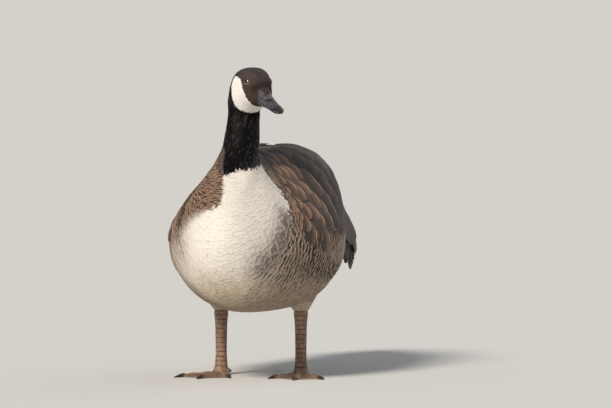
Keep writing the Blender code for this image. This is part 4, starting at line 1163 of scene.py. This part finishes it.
# %% [markdown]
# The long feathers at the rear of the wing are the tertials, broad and rounded, that lie over the blackish
# pointed primaries. From the back outwards each lies a little lower than the last, and those nearest the
# flank rise again, to pass over the primaries. Each is one feather of the same kind as the coverts, only
# longer, so it bends round the body from root to tip.

# %% Tertials and primaries
TERTIALS, PRIMARIES = 8, 6
TERTIAL_A, PRIMARY_A = 0.57, 0.70       # where along the wing they are rooted
TERTIAL_HALF, PRIMARY_HALF = 18.0, 10.5
TERTIAL_TONES = (0.060, 0.038, 0.034), (0.098, 0.062, 0.052)
PRIMARY_TONE = np.array([0.012, 0.010, 0.010])
PRIMARY_LEAN = -0.10


def slope_length(a, b):
    """Millimetres of wing for a whole unit of a."""
    return np.linalg.norm(surface_frame(wing_surface, a, b)[1], axis=-1)


print("length of the wing's face:", round(float(slope_length(0.5, 0.5))))
for side, word in SIDES:
    quill_rng = np.random.default_rng(4)
    b = np.linspace(0.05, 0.86, TERTIALS)
    a = TERTIAL_A + 0.09 * quill_rng.uniform(0, 1, TERTIALS)
    reach = np.minimum(120 + 8 * quill_rng.uniform(-1, 1, TERTIALS), (0.975 - a) * slope_length(0.8, b))
    tone = blend(*TERTIAL_TONES, quill_rng.uniform(0, 1, (TERTIALS, 1)))
    coat(f"tertials_{word}", wing_surface, wing_chart, a, b, TERTIAL_HALF, reach, QUILL_LEAF, quill_paint,
         "wing_plumage", lambda r, q: (tone, 0.9, 0.4), quill_rng, sink=-5.0,
         rise=2.4 - 1.4 * b + 5.5 * ease(b, 0.45, 0.8), half=1.0,
         camber=0.07, turn=0.04, columns=7, curve=0.6, side=side)
    b = np.linspace(0.70, 0.99, PRIMARIES)
    a = np.full(PRIMARIES, PRIMARY_A)
    reach = np.minimum(np.linspace(104, 134, PRIMARIES), (0.995 - a) * slope_length(0.85, b))
    coat(f"primaries_{word}", wing_surface, wing_chart, a, b, PRIMARY_HALF, reach, POINT_LEAF, quill_paint,
         "wing_plumage", lambda r, q: (PRIMARY_TONE, 0.2, 0.2), quill_rng, sink=-4.0,
         rise=6.0 - 4.0 * (b - 0.7) / 0.3, half=1.0, camber=0.07, turn=0.0, lean=PRIMARY_LEAN, columns=5,
         curve=0.8, side=side)

# %% [markdown]
# The tail is a short black fan. White feathers cover its root above and below: above they make a white band
# behind the black rump, below they run on from the white vent. So it has two surfaces: a flat fan for the
# long feathers, and a tube round its root for the white ones.

# %% Form of the tail
TAIL_ROOT_S, TAIL_ROOT_Z = 456.0, 184.0
TAIL_SPREAD, TAIL_DROOP = math.radians(13), math.radians(7)
RECTRICES, RECTRIX_HALF = 17, 10.5
# Rings of the coat round the root of the tail, from the rump back
TAIL_RINGS = [(470, 205.5, 466, 151, 41, 0.0, 2.0, 2.0), (500, 188.5, 498, 157, 31, 0.0, 2.0, 2.0),
              (525, 180, 525, 163.5, 30, 0.0, 2.0, 2.0), (552, 174.5, 552, 167, 33, 0.0, 2.0, 2.0)]
TAIL_WHITE, TAIL_BLACK = (0.80, 0.77, 0.72), (0.012, 0.010, 0.010)


def tail_surface(a, b):
    """The fan: a runs from root to tip, b across it, with its sides curving down."""
    a, b = as_arrays(a, b)
    far = (TAIL_TIP - TAIL_ROOT_S) / math.cos(TAIL_DROOP) * a
    return np.stack([far * np.sin(TAIL_SPREAD * b) + 12 * b,
                     TAIL_ROOT_S + far * np.cos(TAIL_SPREAD * b) * math.cos(TAIL_DROOP),
                     TAIL_ROOT_Z - far * math.sin(TAIL_DROOP) - 9 * b * b], -1)


def tail_coat(r, v):
    """The coat round the tail's root: r runs back, v round it from the top."""
    r, v = as_arrays(r, v)
    return section(between(TAIL_RINGS, r), v)


def tail_look(r, v):
    """Black at the front of the upper side, white behind it and all round below."""
    above = ease(np.cos(v), -0.05, 0.15)
    black = above * ease(r, 0.75, 0.35)
    n = np.zeros(np.shape(r))
    return blend(TAIL_WHITE, TAIL_BLACK, black), 0.1 + n, 0.25 + n


print("spread of the fan:", 2 * round(math.degrees(TAIL_SPREAD)), "degrees")

# %% [markdown]
# Under the white feathers a dark core fills the root of the tail. The long feathers are set side by side over
# the fan, lower and lower from the middle outwards, so that each lies partly under its inner neighbour.

# %% Tail
TAIL_THIN = 0.10                        # how much thinner the core is than its coat
TAIL_GAP, TAIL_LENGTH = 5.4, 25         # of the white feathers
FAN_LENGTH, FAN_DROP = 0.88 * 134, -8.8
core = tail_coat(np.linspace(0.0, 2.2, 30)[:, None], round_angles(64)[None, :])
core = core - (core - core.mean(1, keepdims=True)) * TAIL_THIN
place_piece("tail_base", tube("tail_base", core, flip=True), base_paint.material, "black_plumage", "tail")
b = np.linspace(-1, 1, RECTRICES)
tail_chart = unwrap(tail_surface, 0.0, 1.0, -1.0, 1.0)
fan_drop = FAN_DROP * np.abs(b)
coat("tail_feathers", tail_surface, tail_chart, np.full(RECTRICES, 0.12), b * 0.9, RECTRIX_HALF,
     FAN_LENGTH * (1 - 0.10 * b * b), FAN_LEAF, quill_paint, "black_plumage",
     lambda r, q: (np.array(TAIL_BLACK), 0.12, 0.1), rng, sink=fan_drop, rise=fan_drop, half=1.0, camber=0.06,
     turn=0.0, columns=5, curve=1.0)
root_chart = unwrap(tail_coat, 0.0, 3.0, 0.0, TURN)
r, v = row_places(tail_coat, 0.0, 1.7, 0.0, TURN, even(TAIL_GAP), 1.3, rng)
coat("tail_coverts", tail_coat, root_chart, r, v, TAIL_GAP, TAIL_LENGTH * rng.uniform(0.88, 1.12, len(r)),
     BODY_LEAF, soft_paint, "body_plumage", tail_look, rng, sink=-2.6, rise=rng.uniform(-0.1, 0.1, len(r)))

# %% [markdown]
# The bill is two halves that meet along the line of the mouth. Each is a row of cross sections, an arch for
# the upper half and a trough for the lower, worked out from four profiles along its length. They are read
# from the side and from above: the ridge, the edge of the mouth, the half width and the chin. At its base the
# horn runs up the face in a lobe on each side.

# %% Profiles of the bill
# Each pair is a distance forward from the eye and a height over it, or a half width
BILL_TOP = [(22, -0.4), (24, -1.2), (33, -5), (42, -9.5), (52, -13), (62, -15.2), (70, -17), (75, -19.5),
            (77, -22)]
BILL_EDGE = [(22, -18.3), (36, -19), (50, -19.3), (62, -20), (70, -21.2), (77, -23)]
BILL_HALF = [(22, 12.7), (24, 12.7), (33, 12.2), (42, 11.1), (52, 10.0), (62, 9.4), (70, 8.4), (75, 5.6),
             (77, 2.0)]
BILL_CHIN = [(22, -24.6), (38, -24.6), (55, -23.4), (66, -23.4), (72, -23.8), (75, -24)]
BILL_START, BILL_ROUND = 22.6, 68.0     # where the bill leaves the face, and where its tip starts to round
UPPER_TIP, LOWER_TIP = 77.0, 74.6
LOBE_HIGH, LOBE_L, LOBE_WIDE = 7.6, 8.9, 2.6
NOSTRIL_F, NOSTRIL_U, NOSTRIL_LONG, NOSTRIL_HIGH = 45.0, -12.0, 5.0, 1.6
NOSTRIL_DEEP, NOSTRIL_LIP = 2.4, 0.5
NAIL_F, NAIL_HIGH, NAIL_DENT = 66.5, 0.45, 0.3
LOWER_IN, GUM_HIGH, GUM_L = 0.9, 0.35, 3.2


def smooth_table(pairs, x):
    """A table read with its corners rounded, by averaging over 5 mm."""
    return sum(table(pairs, x + d) for d in (-2.5, -1.25, 0.0, 1.25, 2.5)) / 5


def base_lobe(f, l):
    """How much the horn rises in a lobe at each side of its base, where it runs up the face."""
    return LOBE_HIGH * ease(f, 35, 24.5) * np.exp(-((np.abs(l) - LOBE_L) / LOBE_WIDE)**2)


print("bill from the face to its tip:", UPPER_TIP - BILL_START)

# %% [markdown]
# The nostril is a slot pressed into each side with a low lip round it, and the nail is a raised plate at the
# tip. Both are bumps in the formula, so they sit in the mesh itself and cost no extra piece. The mouth line,
# the nostril and the tip are stored as a number at each point, which the material reads to darken them: in
# the nostril and the mouth line this is painted shade.

# %% Bill


def bill_half(name, upper, reach):
    """Half of the bill, from the face to its reach: arches over the mouth line, or troughs under it."""
    round_f = BILL_ROUND + (reach - BILL_ROUND) * np.sin(np.linspace(0.03, 1, 26) * math.pi / 2)
    f = np.concatenate([np.linspace(BILL_START, BILL_ROUND, 74), round_f])[:, None]
    turn = np.linspace(0, math.pi, 61)[None, :]
    half, edge, top, chin = (smooth_table(pairs, f) for pairs in (BILL_HALF, BILL_EDGE, BILL_TOP, BILL_CHIN))
    tip = np.sqrt(np.clip(1 - (np.maximum(f - BILL_ROUND, 0) / (reach + 0.3 - BILL_ROUND))**2, 0, 1))
    half = np.minimum(half, 0.4 + 8.6 * tip)
    lift = np.sin(turn)
    if upper:
        low = edge + GAP
        u = low + np.minimum(1.0, top - low) * (lift > 0.02)
        u = u + (top - 1.0 - low) * lift**0.85 * (0.25 + 0.75 * tip)
        l = half * np.cos(turn) * (1 - 0.10 * lift)
        u = u + base_lobe(f, l) * lift**0.5
        slot = np.hypot((f - NOSTRIL_F) / NOSTRIL_LONG, (u - NOSTRIL_U) / NOSTRIL_HIGH)
        pressed, lip = np.exp(-(slot / 0.85)**4), np.exp(-((slot - 1.35) / 0.35)**2)
        l = l - np.sign(l) * NOSTRIL_DEEP * pressed + np.sign(l) * NOSTRIL_LIP * lip
        nail = ease(f, NAIL_F, NAIL_F + 2) * ease(np.abs(l), 4.6, 3.6)
        dent = np.exp(-((f - NAIL_F) / 0.7)**2) * ease(np.abs(l), 5.2, 3.8)
        u = u + (NAIL_HIGH * nail - NAIL_DENT * dent) * (lift > 0.3)
        flat_half, flat_u = half, low
    else:
        u = edge - 0.7 + (chin - edge + 0.7) * lift**0.7 * (0.3 + 0.7 * tip)
        l = (half - LOWER_IN) * np.cos(turn)
        u = u + GUM_HIGH * np.exp(-((np.abs(l) - GUM_L) / 0.8)**2) * (lift > 0.5)
        flat_half, flat_u = half - LOWER_IN, edge
    flat = np.array([[-0.96, -0.5, 0.0, 0.5, 0.96]]) * flat_half
    # Darker towards the tip; the nostril slot and the flat faces at the mouth line are darkened as painted
    # shade.
    dark = ease(f, 60, 72) * 0.8 + 0 * l
    if upper:
        dark = np.maximum(dark, np.exp(-slot**4))
    l, u = np.concatenate([l, flat], 1), np.concatenate([u, flat_u + 0 * flat], 1)
    mesh = tube(name, in_head(f + 0 * l, l, u), flip=not upper)
    add_number(mesh, "dark", np.concatenate([np.concatenate([dark, 1 + 0 * flat], 1).ravel(), [0, 1]]))
    print(name, "faces:", len(mesh.polygons))
    return mesh


bill_paint = Paint("bill", Roughness=0.34, Specular_IOR_Level=0.45)
cloudy = bill_paint.noise(160.0, 4.0)
HORN_TONES, HORN_DARK = ((0.040, 0.033, 0.037), (0.105, 0.088, 0.096)), (0.010, 0.007, 0.007)
horn = bill_paint.mix(cloudy.step(0.35, 0.7), *HORN_TONES)
bill_paint.feed("Base Color", bill_paint.mix(bill_paint.attribute("dark"), horn, HORN_DARK))
bill_paint.feed("Roughness", cloudy * 0.22 + 0.20)
bill_paint.bump(bill_paint.noise(700.0, 3.0), 0.0003, 0.4)
for word, upper, reach in (("upper", True, UPPER_TIP), ("lower", False, LOWER_TIP)):
    shell = bill_half(f"bill_{word}_shell", upper, reach)
    place_piece(f"bill_{word}_shell", shell, bill_paint.material, "bill", f"bill_{word}")

# %% [markdown]
# The feathers of the forehead run out over the base of the bill in a point, so the horn shows a sharp corner
# on each side. These feathers are as small as those of the face, and lie on a patch of the bill's own top.

# %% Feathers over the base of the bill
BROW_TIP, BROW_BACK, BROW_HALF = 41.0, 22.5, 7.3
BROW_GAP, BROW_LENGTH, BROW_SHADE, BROW_LIFT = 1.1, 2.6, 0.75, 0.5


def brow_surface(r, q):
    """The bill's top, narrowing forwards: r runs back from the point, q from side to side."""
    r, q = as_arrays(r, q)
    f = BROW_TIP + (BROW_BACK - BROW_TIP) * r
    l = BROW_HALF * q * np.clip(r, 0.03, 1.2)
    half, top, low = (smooth_table(pairs, f) for pairs in (BILL_HALF, BILL_TOP, BILL_EDGE))
    arch = np.clip(1 - (l / half)**2, 0.02, 1)**0.43
    return in_head(f, l, low + (top - low) * arch + 0.8 * base_lobe(f, l) + BROW_LIFT)


brow_rng = np.random.default_rng(3)
brow_chart = unwrap(brow_surface, 0.0, 1.0, -1.0, 1.0)
r, q = row_places(brow_surface, 0.03, 0.95, -1.0, 1.0, even(BROW_GAP), 1.25, brow_rng)
# The brow feathers wear the crown's tone, with its painted sheen, at three quarters of its brightness.
coat("brow_feathers", brow_surface, brow_chart, r, q, BROW_GAP, BROW_LENGTH, SILK_LEAF, silk_paint,
     "black_plumage", lambda r, q: (np.array(CROWN_WITH_SHEEN) * BROW_SHADE, 0.0, 0.7), brow_rng, sink=-0.6,
     half=SILK_HALF)

# %% [markdown]
# The eye is a ball set deep in the head, so only its front shows in the opening of the lids. A flat disc with
# a picture of an eye would do from afar, but it has no depth and its highlight would stay still. The pupil
# and the iris are read from each point's distance to the middle of the front.

# %% Eyeballs
EYE_R, POLE_ROOM = 5.6, 0.03            # radius, and the small angle left open at each pole
EYE_ROWS, EYE_AROUND = 40, 64
PUPIL, IRIS_EDGE, BEHIND = 2.2, 2.5, 9.0
PUPIL_TONE, IRIS_TONE = (0.001, 0.001, 0.001), (0.050, 0.020, 0.010)
eye_paint = Paint("eye", Roughness=0.06, Specular_IOR_Level=0.6, Coat_Weight=1.0, Coat_Roughness=0.06)
ring_at = eye_paint.attribute("radius")
eye_paint.feed("Base Color", eye_paint.mix(ring_at.step(PUPIL, IRIS_EDGE), PUPIL_TONE, IRIS_TONE))


def by_eye(side, forward, up, out):
    """Points given from the middle of an eye along its own directions, placed on the turned head."""
    look, along, upright = eye_axes()
    f, l, u = (EYE_AT[i] + forward * along[i] + up * upright[i] + out * look[i] for i in range(3))
    return in_head(f, side * l, u)


def eyeball(side, word):
    """A ball of rings round the eye's own look, with each point's distance from that look."""
    lat = np.linspace(POLE_ROOM, math.pi - POLE_ROOM, EYE_ROWS)[:, None]
    lon = round_angles(EYE_AROUND)[None, :]
    forward, up, out = np.sin(lat) * np.cos(lon), np.sin(lat) * np.sin(lon), np.cos(lat) + 0 * lon
    mesh = tube(f"eyeball_{word}", by_eye(side, EYE_R * forward, EYE_R * up, EYE_R * out), flip=side < 0)
    radius = np.where(out > 0, EYE_R * np.hypot(forward, up), BEHIND)
    add_number(mesh, "radius", np.concatenate([radius.ravel(), [0, BEHIND]]))
    place_piece(f"eyeball_{word}", mesh, eye_paint.material, "eye", f"eye_{word}")


print("eyeball across:", 2 * EYE_R)

# %% [markdown]
# The lids are a thin collar that lies on the ball, thickest at its inner rim, with fine folds running round
# it. The rim of the lower lid is pale, which makes the dark eye stand out from the dark face.

# %% Lids
OPEN_LONG, OPEN_HIGH = 3.75, 3.1        # half the opening, along and up
CORNER = 0.16                           # how much the opening is drawn out at its corners
LID_UNDER = 1.10                        # how far the collar runs on under the feathers
LID_THICK, LID_BULGE, LID_FOLD, LID_OUTER = 1.2, 0.7, 0.05, 2.9
LID_AROUND, LID_ACROSS = 72, 15
LID_TONES, RIM_TONE = ((0.030, 0.021, 0.018), (0.065, 0.046, 0.038)), (0.36, 0.24, 0.19)
lid_paint = Paint("lids", Roughness=0.5)
lid_tone = lid_paint.mix(lid_paint.noise(900.0), *LID_TONES)
lid_paint.feed("Base Color", lid_paint.mix(lid_paint.attribute("rim"), lid_tone, RIM_TONE))


def lids(side, word):
    """A closed collar: the turn runs round the opening, and wide from its rim out under the feathers."""
    turn = round_angles(LID_AROUND)[:, None]
    wide = np.linspace(0, 1, LID_ACROSS)[None, :]
    corner = 1 + CORNER * np.abs(np.cos(turn))**6
    forward = (OPEN_LONG * corner * (1 - wide) + LID_REACH * LID_UNDER * LID_LONG * wide) * np.cos(turn)
    up = (OPEN_HIGH * (1 - wide) + LID_REACH * LID_UNDER * LID_HIGH * wide) * np.sin(turn)
    rim_square = (OPEN_LONG * np.cos(turn))**2 + (OPEN_HIGH * np.sin(turn))**2
    on_ball = np.sqrt(np.clip(EYE_R**2 - rim_square, 0, None))
    bulge = LID_BULGE * np.sin(math.pi * np.clip(wide * 1.1 + 0.14, 0, 1))**0.7 * (1 - 0.5 * wide)
    high = on_ball * (1 - wide) + LID_OUTER * wide + bulge + LID_FOLD * np.sin(wide * 22) * (1 - wide)
    shell = np.concatenate([by_eye(side, forward, up, high),
                            by_eye(side, forward, up, high - LID_THICK)[:, ::-1]], 1)
    n, m = shell.shape[:2]
    j = np.arange(m)
    seam = np.stack([(n - 1) * m + j, (n - 1) * m + (j + 1) % m, (j + 1) % m, j], -1)
    quads = np.concatenate([grid_faces(n, m, True), seam])
    mesh = fill_mesh(f"lids_{word}", shell, quads if side < 0 else quads[:, ::-1])
    rim = np.exp(-((wide - 0.18) / 0.26)**2) * (0.30 + 0.70 * ease(np.sin(turn), 0.2, -0.5))
    add_number(mesh, "rim", np.concatenate([rim, 0 * rim], 1))
    place_piece(f"lids_{word}", mesh, lid_paint.material, "black_plumage")
    print(f"lids_{word} faces:", len(mesh.polygons))


for side, word in SIDES:
    eyeball(side, word)
    lids(side, word)

# %% [markdown]
# The legs are scaly: broad plates overlap down the front, small rounded scales cover the sides and back.
# Both are pressed into the surface by a formula, so that they catch the light as real plates do, where a
# bump in the material alone would leave the leg's outline smooth.

# %% Skin of the legs
LEG_TONES, GROOVE_TONE = ((0.22, 0.135, 0.083), (0.38, 0.24, 0.15)), (0.045, 0.028, 0.020)
leg_paint = Paint("leg_skin", Roughness=0.45, Specular_IOR_Level=0.45)
mottle = leg_paint.noise(220.0, 3.0)
leg_colour = leg_paint.mix(mottle.step(0.35, 0.7), *LEG_TONES)
leg_paint.feed("Base Color", leg_paint.mix(leg_paint.attribute("groove"), leg_colour, GROOVE_TONE))
leg_paint.bump(leg_paint.noise(1400.0, 2.0), 0.0002, 0.4)


def scales(across, along, size):
    """Height of rounded scales set like bricks: highest in each middle, and 0 on the lines between."""
    row = np.floor(along / size)
    x = across / size + 0.5 * np.mod(row, 2)
    dx, dz = np.abs(x - np.floor(x) - 0.5) * 2, np.abs(along / size - row - 0.5) * 2
    return np.clip(1 - np.maximum(dx, dz)**3, 0, 1)


def plate_height(share):
    """A plate across the leg or toe, over its share from 0 to 1: flat, with both ends rounded off."""
    return np.clip(1 - np.abs(share * 2 - 1)**5, 0, 1)


def leg_piece(name, rings, side, flipped, dark, *nodes):
    """One piece in the skin of the legs, on the left or right: dark is 1 in a groove and 0 on a plate.

    Its faces are turned over on the side that flipped names, so that they look outwards on both."""
    mesh = tube(name, mirrored(rings, side), flip=side == flipped)
    add_number(mesh, "groove", np.concatenate([dark.ravel(), [0, 0]]))
    place_piece(name, mesh, leg_paint.material, "leg_skin", *nodes)


print("height in a scale's middle:", scales(0.5, 0.5, 1.0))

# %% [markdown]
# The bare leg is a tube whose half width and half depth are read from a short table, widest at the heel
# under the feathers. The plates and scales add their height to both.

# %% Legs
# Height, half width and half depth, from under the feathers down to the ankle
TARSUS = [(92, 7.8, 8.6), (87.7, 8.6, 9.4), (84, 9.4, 10.6), (79, 9.2, 10.4), (73, 8.3, 9.4), (62, 7.8, 8.6),
          (45, 7.5, 8.3), (28, 7.3, 8.1), (18, 7.9, 8.8), (10.3, 8.6, 9.4), (8, 8.4, 9.2)]
TARSUS_ROWS, TARSUS_AROUND = 170, 112
PLATE_STEP, PLATE_START, PLATE_HIGH = 6.2, 12, 0.75
SCALE_SIZE, SCALE_HIGH, SCALE_ROUND = 2.3, 0.45, 8.0
LEG_SINK = 0.35                         # the surface starts this much lower, to leave room for its scales
z = np.linspace(TARSUS[0][0], TARSUS[-1][0], TARSUS_ROWS)[:, None]
v = round_angles(TARSUS_AROUND)[None, :]
heights, widths, depths = np.array(TARSUS)[::-1].T
wide = sum(np.interp(z + d, heights, widths) for d in (-2, 0, 2)) / 3
deep = sum(np.interp(z + d, heights, depths) for d in (-2, 0, 2)) / 3
front = ease(np.cos(v + math.pi / 2), 0.45, 0.62)
plate = np.mod((z - PLATE_START) / PLATE_STEP, 1.0)
plates = plate_height(plate) * (0.6 + 0.4 * plate)
small = scales(v * SCALE_ROUND, z + 0 * v, SCALE_SIZE)
relief = front * plates * PLATE_HIGH + (1 - front) * small * SCALE_HIGH
x = LEG_X + (wide - LEG_SINK + relief) * np.cos(v)
s = LEG_S + (deep - LEG_SINK + relief) * np.sin(v)
tarsus = np.stack([x, s, z + 0 * x], -1)
groove = 1 - np.clip((front * plates + (1 - front) * small) * 1.4, 0, 1)
for side, word in SIDES:
    leg_piece(f"tarsus_{word}", tarsus, side, 1, groove, f"leg_{word}")
print("leg across and deep:", np.round([np.ptp(x), np.ptp(s)], 1))

# %% [markdown]
# Three toes spread forward with a web between them. Modelled one by one, they would need joins with the web.
# Instead the whole foot is one sheet over the angle and the distance from the ankle: its height is the web's,
# or a toe's where that is higher, with a plate at every step along the toe.

# %% Web and toes
TOES = [(-33, 60, 4.4), (-2, 78, 5.0), (27, 70, 4.6)]    # angle in degrees, length, half width
FOOT_TURN = math.radians(9)
ANKLE_BACK = 4.0                        # how far behind the ankle the toes start
WEB_ROWS, WEB_SPREAD = 108, 72
WEB_LOW, WEB_SCALE, WEB_SCALE_HIGH, WEB_DIP = 1.6, 2.6, 0.15, 0.16
TOE_HIGH, TOE_FALL, KNUCKLES, TOE_PLATE, TOE_PLATE_HIGH = 5.6, 1.6, 3, 3.0, 0.3
ROOT_SHARE, ROOT_HIGH = 0.08, 7.0       # the first part of the foot, under the ankle


def foot_reach(angle):
    """How far the foot reaches at an angle: out to each toe, with the web curving in between."""
    reach = np.interp(angle, [row[0] for row in TOES], [row[1] for row in TOES])
    dips = 0
    for low, high in zip(TOES[:-1], TOES[1:]):
        across = np.clip((angle - low[0]) / (high[0] - low[0]), 0, 1)
        dips = dips + WEB_DIP * np.sin(math.pi * across)**0.7 * ((angle >= low[0]) & (angle <= high[0]))
    return reach * (1 - dips)


def turned(far, sideways, high):
    """A point of the foot from its ankle: far ahead, sideways and high, turned out with the foot."""
    c, s = math.cos(FOOT_TURN), math.sin(FOOT_TURN)
    x, back = LEG_X + far * s + sideways * c, LEG_S - ANKLE_BACK - far * c + sideways * s
    return np.stack(np.broadcast_arrays(x, back, high), -1)


def foot_sheet():
    """Rings of the web with its toes, top and sole, and how dark each point is."""
    angles = np.radians(np.linspace(TOES[0][0] - 3, TOES[-1][0] + 3.5, WEB_ROWS))[:, None]
    spread = np.linspace(0, 1, WEB_SPREAD)[None, :]
    reach = foot_reach(np.clip(np.degrees(angles), TOES[0][0], TOES[-1][0])) * spread
    far, sideways = reach * np.cos(angles), reach * np.sin(angles)
    high = WEB_LOW + WEB_SCALE_HIGH * scales(sideways, far, WEB_SCALE)
    dark = 1 - scales(sideways, far, WEB_SCALE)
    for angle, length, half in TOES:
        a = math.radians(angle)
        ahead, off = far * math.cos(a) + sideways * math.sin(a), sideways * math.cos(a) - far * math.sin(a)
        ridge = np.sqrt(np.clip(1 - (off / half)**2, 0, 1))
        knuckle = 1 + 0.10 * np.cos(ahead / length * TURN * KNUCKLES)
        plate = plate_height(np.mod(ahead / TOE_PLATE, 1))
        tall = (TOE_HIGH - TOE_FALL * spread) * ridge * knuckle + TOE_PLATE_HIGH * plate * ridge
        dark = np.where(tall > high, 1 - plate, dark)
        high = np.maximum(high, tall)
    high = np.where(spread < ROOT_SHARE, ROOT_HIGH, high)
    top, low = turned(far, sideways, high), turned(far, sideways, 0 * high)
    return np.concatenate([top, low[:, ::-1]], 1), np.concatenate([dark, 0 * dark], 1)


web, web_dark = foot_sheet()
print("foot long and wide:", np.round([np.ptp(web[..., 1]), np.ptp(web[..., 0])], 1))

# %% [markdown]
# The ankle is a low rounded block over the roots of the toes, and the small fourth toe points back from it.
# The claws are short blunt cones that lie on the floor and start inside the tips of the toes.

# %% Ankles, hind toes and claws
ANKLE_ROWS, ANKLE_AROUND, ANKLE_HIGH, ANKLE_R, ANKLE_OVAL = 24, 64, 10.8, 9.4, 1.25
# Distance back from the leg's middle, radius and height of the hind toe
HIND = [(4, 3.6, 5.6), (12, 3.4, 6.2), (19, 3.0, 5.2), (24, 2.1, 3.8), (28, 0.5, 2.4)]
HIND_ROWS, HIND_LEAN = 30, 0.25
CLAW_IN, CLAW_OUT, CLAW_WIDE, CLAW_HIGH = 7.0, 10.8, 3.1, 5.2
CLAW_ROWS, CLAW_AROUND = 26, 20
CLAW_TONES = (0.014, 0.011, 0.010), (0.045, 0.034, 0.028)
claw_paint = Paint("claws", Roughness=0.4)
claw_paint.feed("Base Color", claw_paint.mix(claw_paint.noise(260.0), *CLAW_TONES))


def ankle_rings():
    """Rings from the floor up, widest below the middle, with small scales."""
    v, z = round_angles(ANKLE_AROUND), np.linspace(0, 1, ANKLE_ROWS)[:, None]
    r = ANKLE_R + 1.6 * np.sin(math.pi * np.clip(z * 1.3, 0, 1)) - 0.6 * z
    r = r + 0.3 * scales(v[None, :] * 9, z * 10.5, 2.4)
    x, s = LEG_X + r * np.cos(v), LEG_S - 1 + r * ANKLE_OVAL * np.sin(v)
    return np.stack([x, s, z * ANKLE_HIGH + 0 * r], -1)


def hind_rings():
    """Rings of the toe that points back, from inside the ankle to its tip near the floor."""
    behind, radii, heights = np.array(HIND).T
    back = np.linspace(behind[0], behind[-1], HIND_ROWS)[:, None]
    v = round_angles(ANKLE_AROUND)[::2]
    r = np.interp(back, behind, radii) + 0.12 * np.cos(back * 2.1)
    x = LEG_X - HIND_LEAN * back + r * np.cos(v)
    return np.stack([x, LEG_S + back + 0 * x, np.interp(back, behind, heights) + 0.9 * r * np.sin(v)], -1)


def claw_rings(angle, length):
    """Rings of a claw along its toe: the width and the height fall off faster towards the tip."""
    a = math.radians(angle)
    ahead = np.linspace(length - CLAW_IN, length + CLAW_OUT, CLAW_ROWS)[:, None]
    share = (ahead - length + CLAW_IN) / (CLAW_IN + CLAW_OUT)
    w, h = CLAW_WIDE * (1 - share**1.7) + 0.25, CLAW_HIGH * (1 - 0.85 * share**1.4)
    turn = round_angles(CLAW_AROUND)[None, :]
    off, high = w * np.cos(turn), h / 2 + h / 2 * np.sin(turn)
    return turned(ahead * math.cos(a) - off * math.sin(a), ahead * math.sin(a) + off * math.cos(a), high)


for side, word in SIDES:
    leg_piece(f"web_{word}", web, side, 1, web_dark, f"foot_{word}")
    leg_piece(f"ankle_{word}", ankle_rings(), side, -1, np.zeros((ANKLE_ROWS, ANKLE_AROUND)))
    leg_piece(f"hind_toe_{word}", hind_rings(), side, -1, np.zeros((HIND_ROWS, ANKLE_AROUND // 2)))
    for k, (angle, length, _) in enumerate(TOES):
        mesh = tube(f"claw_{word}_{k}", mirrored(claw_rings(angle, length), side), flip=side > 0)
        place_piece(f"claw_{word}_{k}", mesh, claw_paint.material, "leg_skin")
print("claws:", 2 * len(TOES))

# %% [markdown]
# The feathered drumsticks come out of the belly. Their feathers are soft and hang towards the heel, so their
# surface is read downwards, and they vary more in height than those of the body, as loose down does.

# %% Thigh feathers
THIGH_GAP, THIGH_SINK = 3.6, -2.2
THIGH_SHORT, THIGH_LONG = 9, 13         # lengths of the feathers
THIGH_TONE = (0.47, 0.385, 0.305)
thigh_chart = unwrap(thigh_surface, 0.0, 1.0, 0.0, TURN)


def thigh_look(r, q):
    """The belly's painted shade at the top, paler towards the heel."""
    n = np.zeros(np.shape(r))
    return blend(SHADED_BELLY, THIGH_TONE, ease(r, 0.2, 0.8)), 0.3 + n, 0.45 + n


for side, word in SIDES:
    thigh_rng = np.random.default_rng(8)
    r, q = row_places(thigh_surface, 0.0, 0.95, 0.0, TURN, even(THIGH_GAP), 1.2, thigh_rng, jitter=0.25)
    coat(f"thigh_feathers_{word}", thigh_surface, thigh_chart, r, q, THIGH_GAP,
         thigh_rng.uniform(THIGH_SHORT, THIGH_LONG, len(r)), BODY_LEAF, soft_paint, "body_plumage",
         thigh_look, thigh_rng, sink=THIGH_SINK, rise=thigh_rng.uniform(-0.3, 0.5, len(r)), turn=0.16,
         side=side)

# %% [markdown]
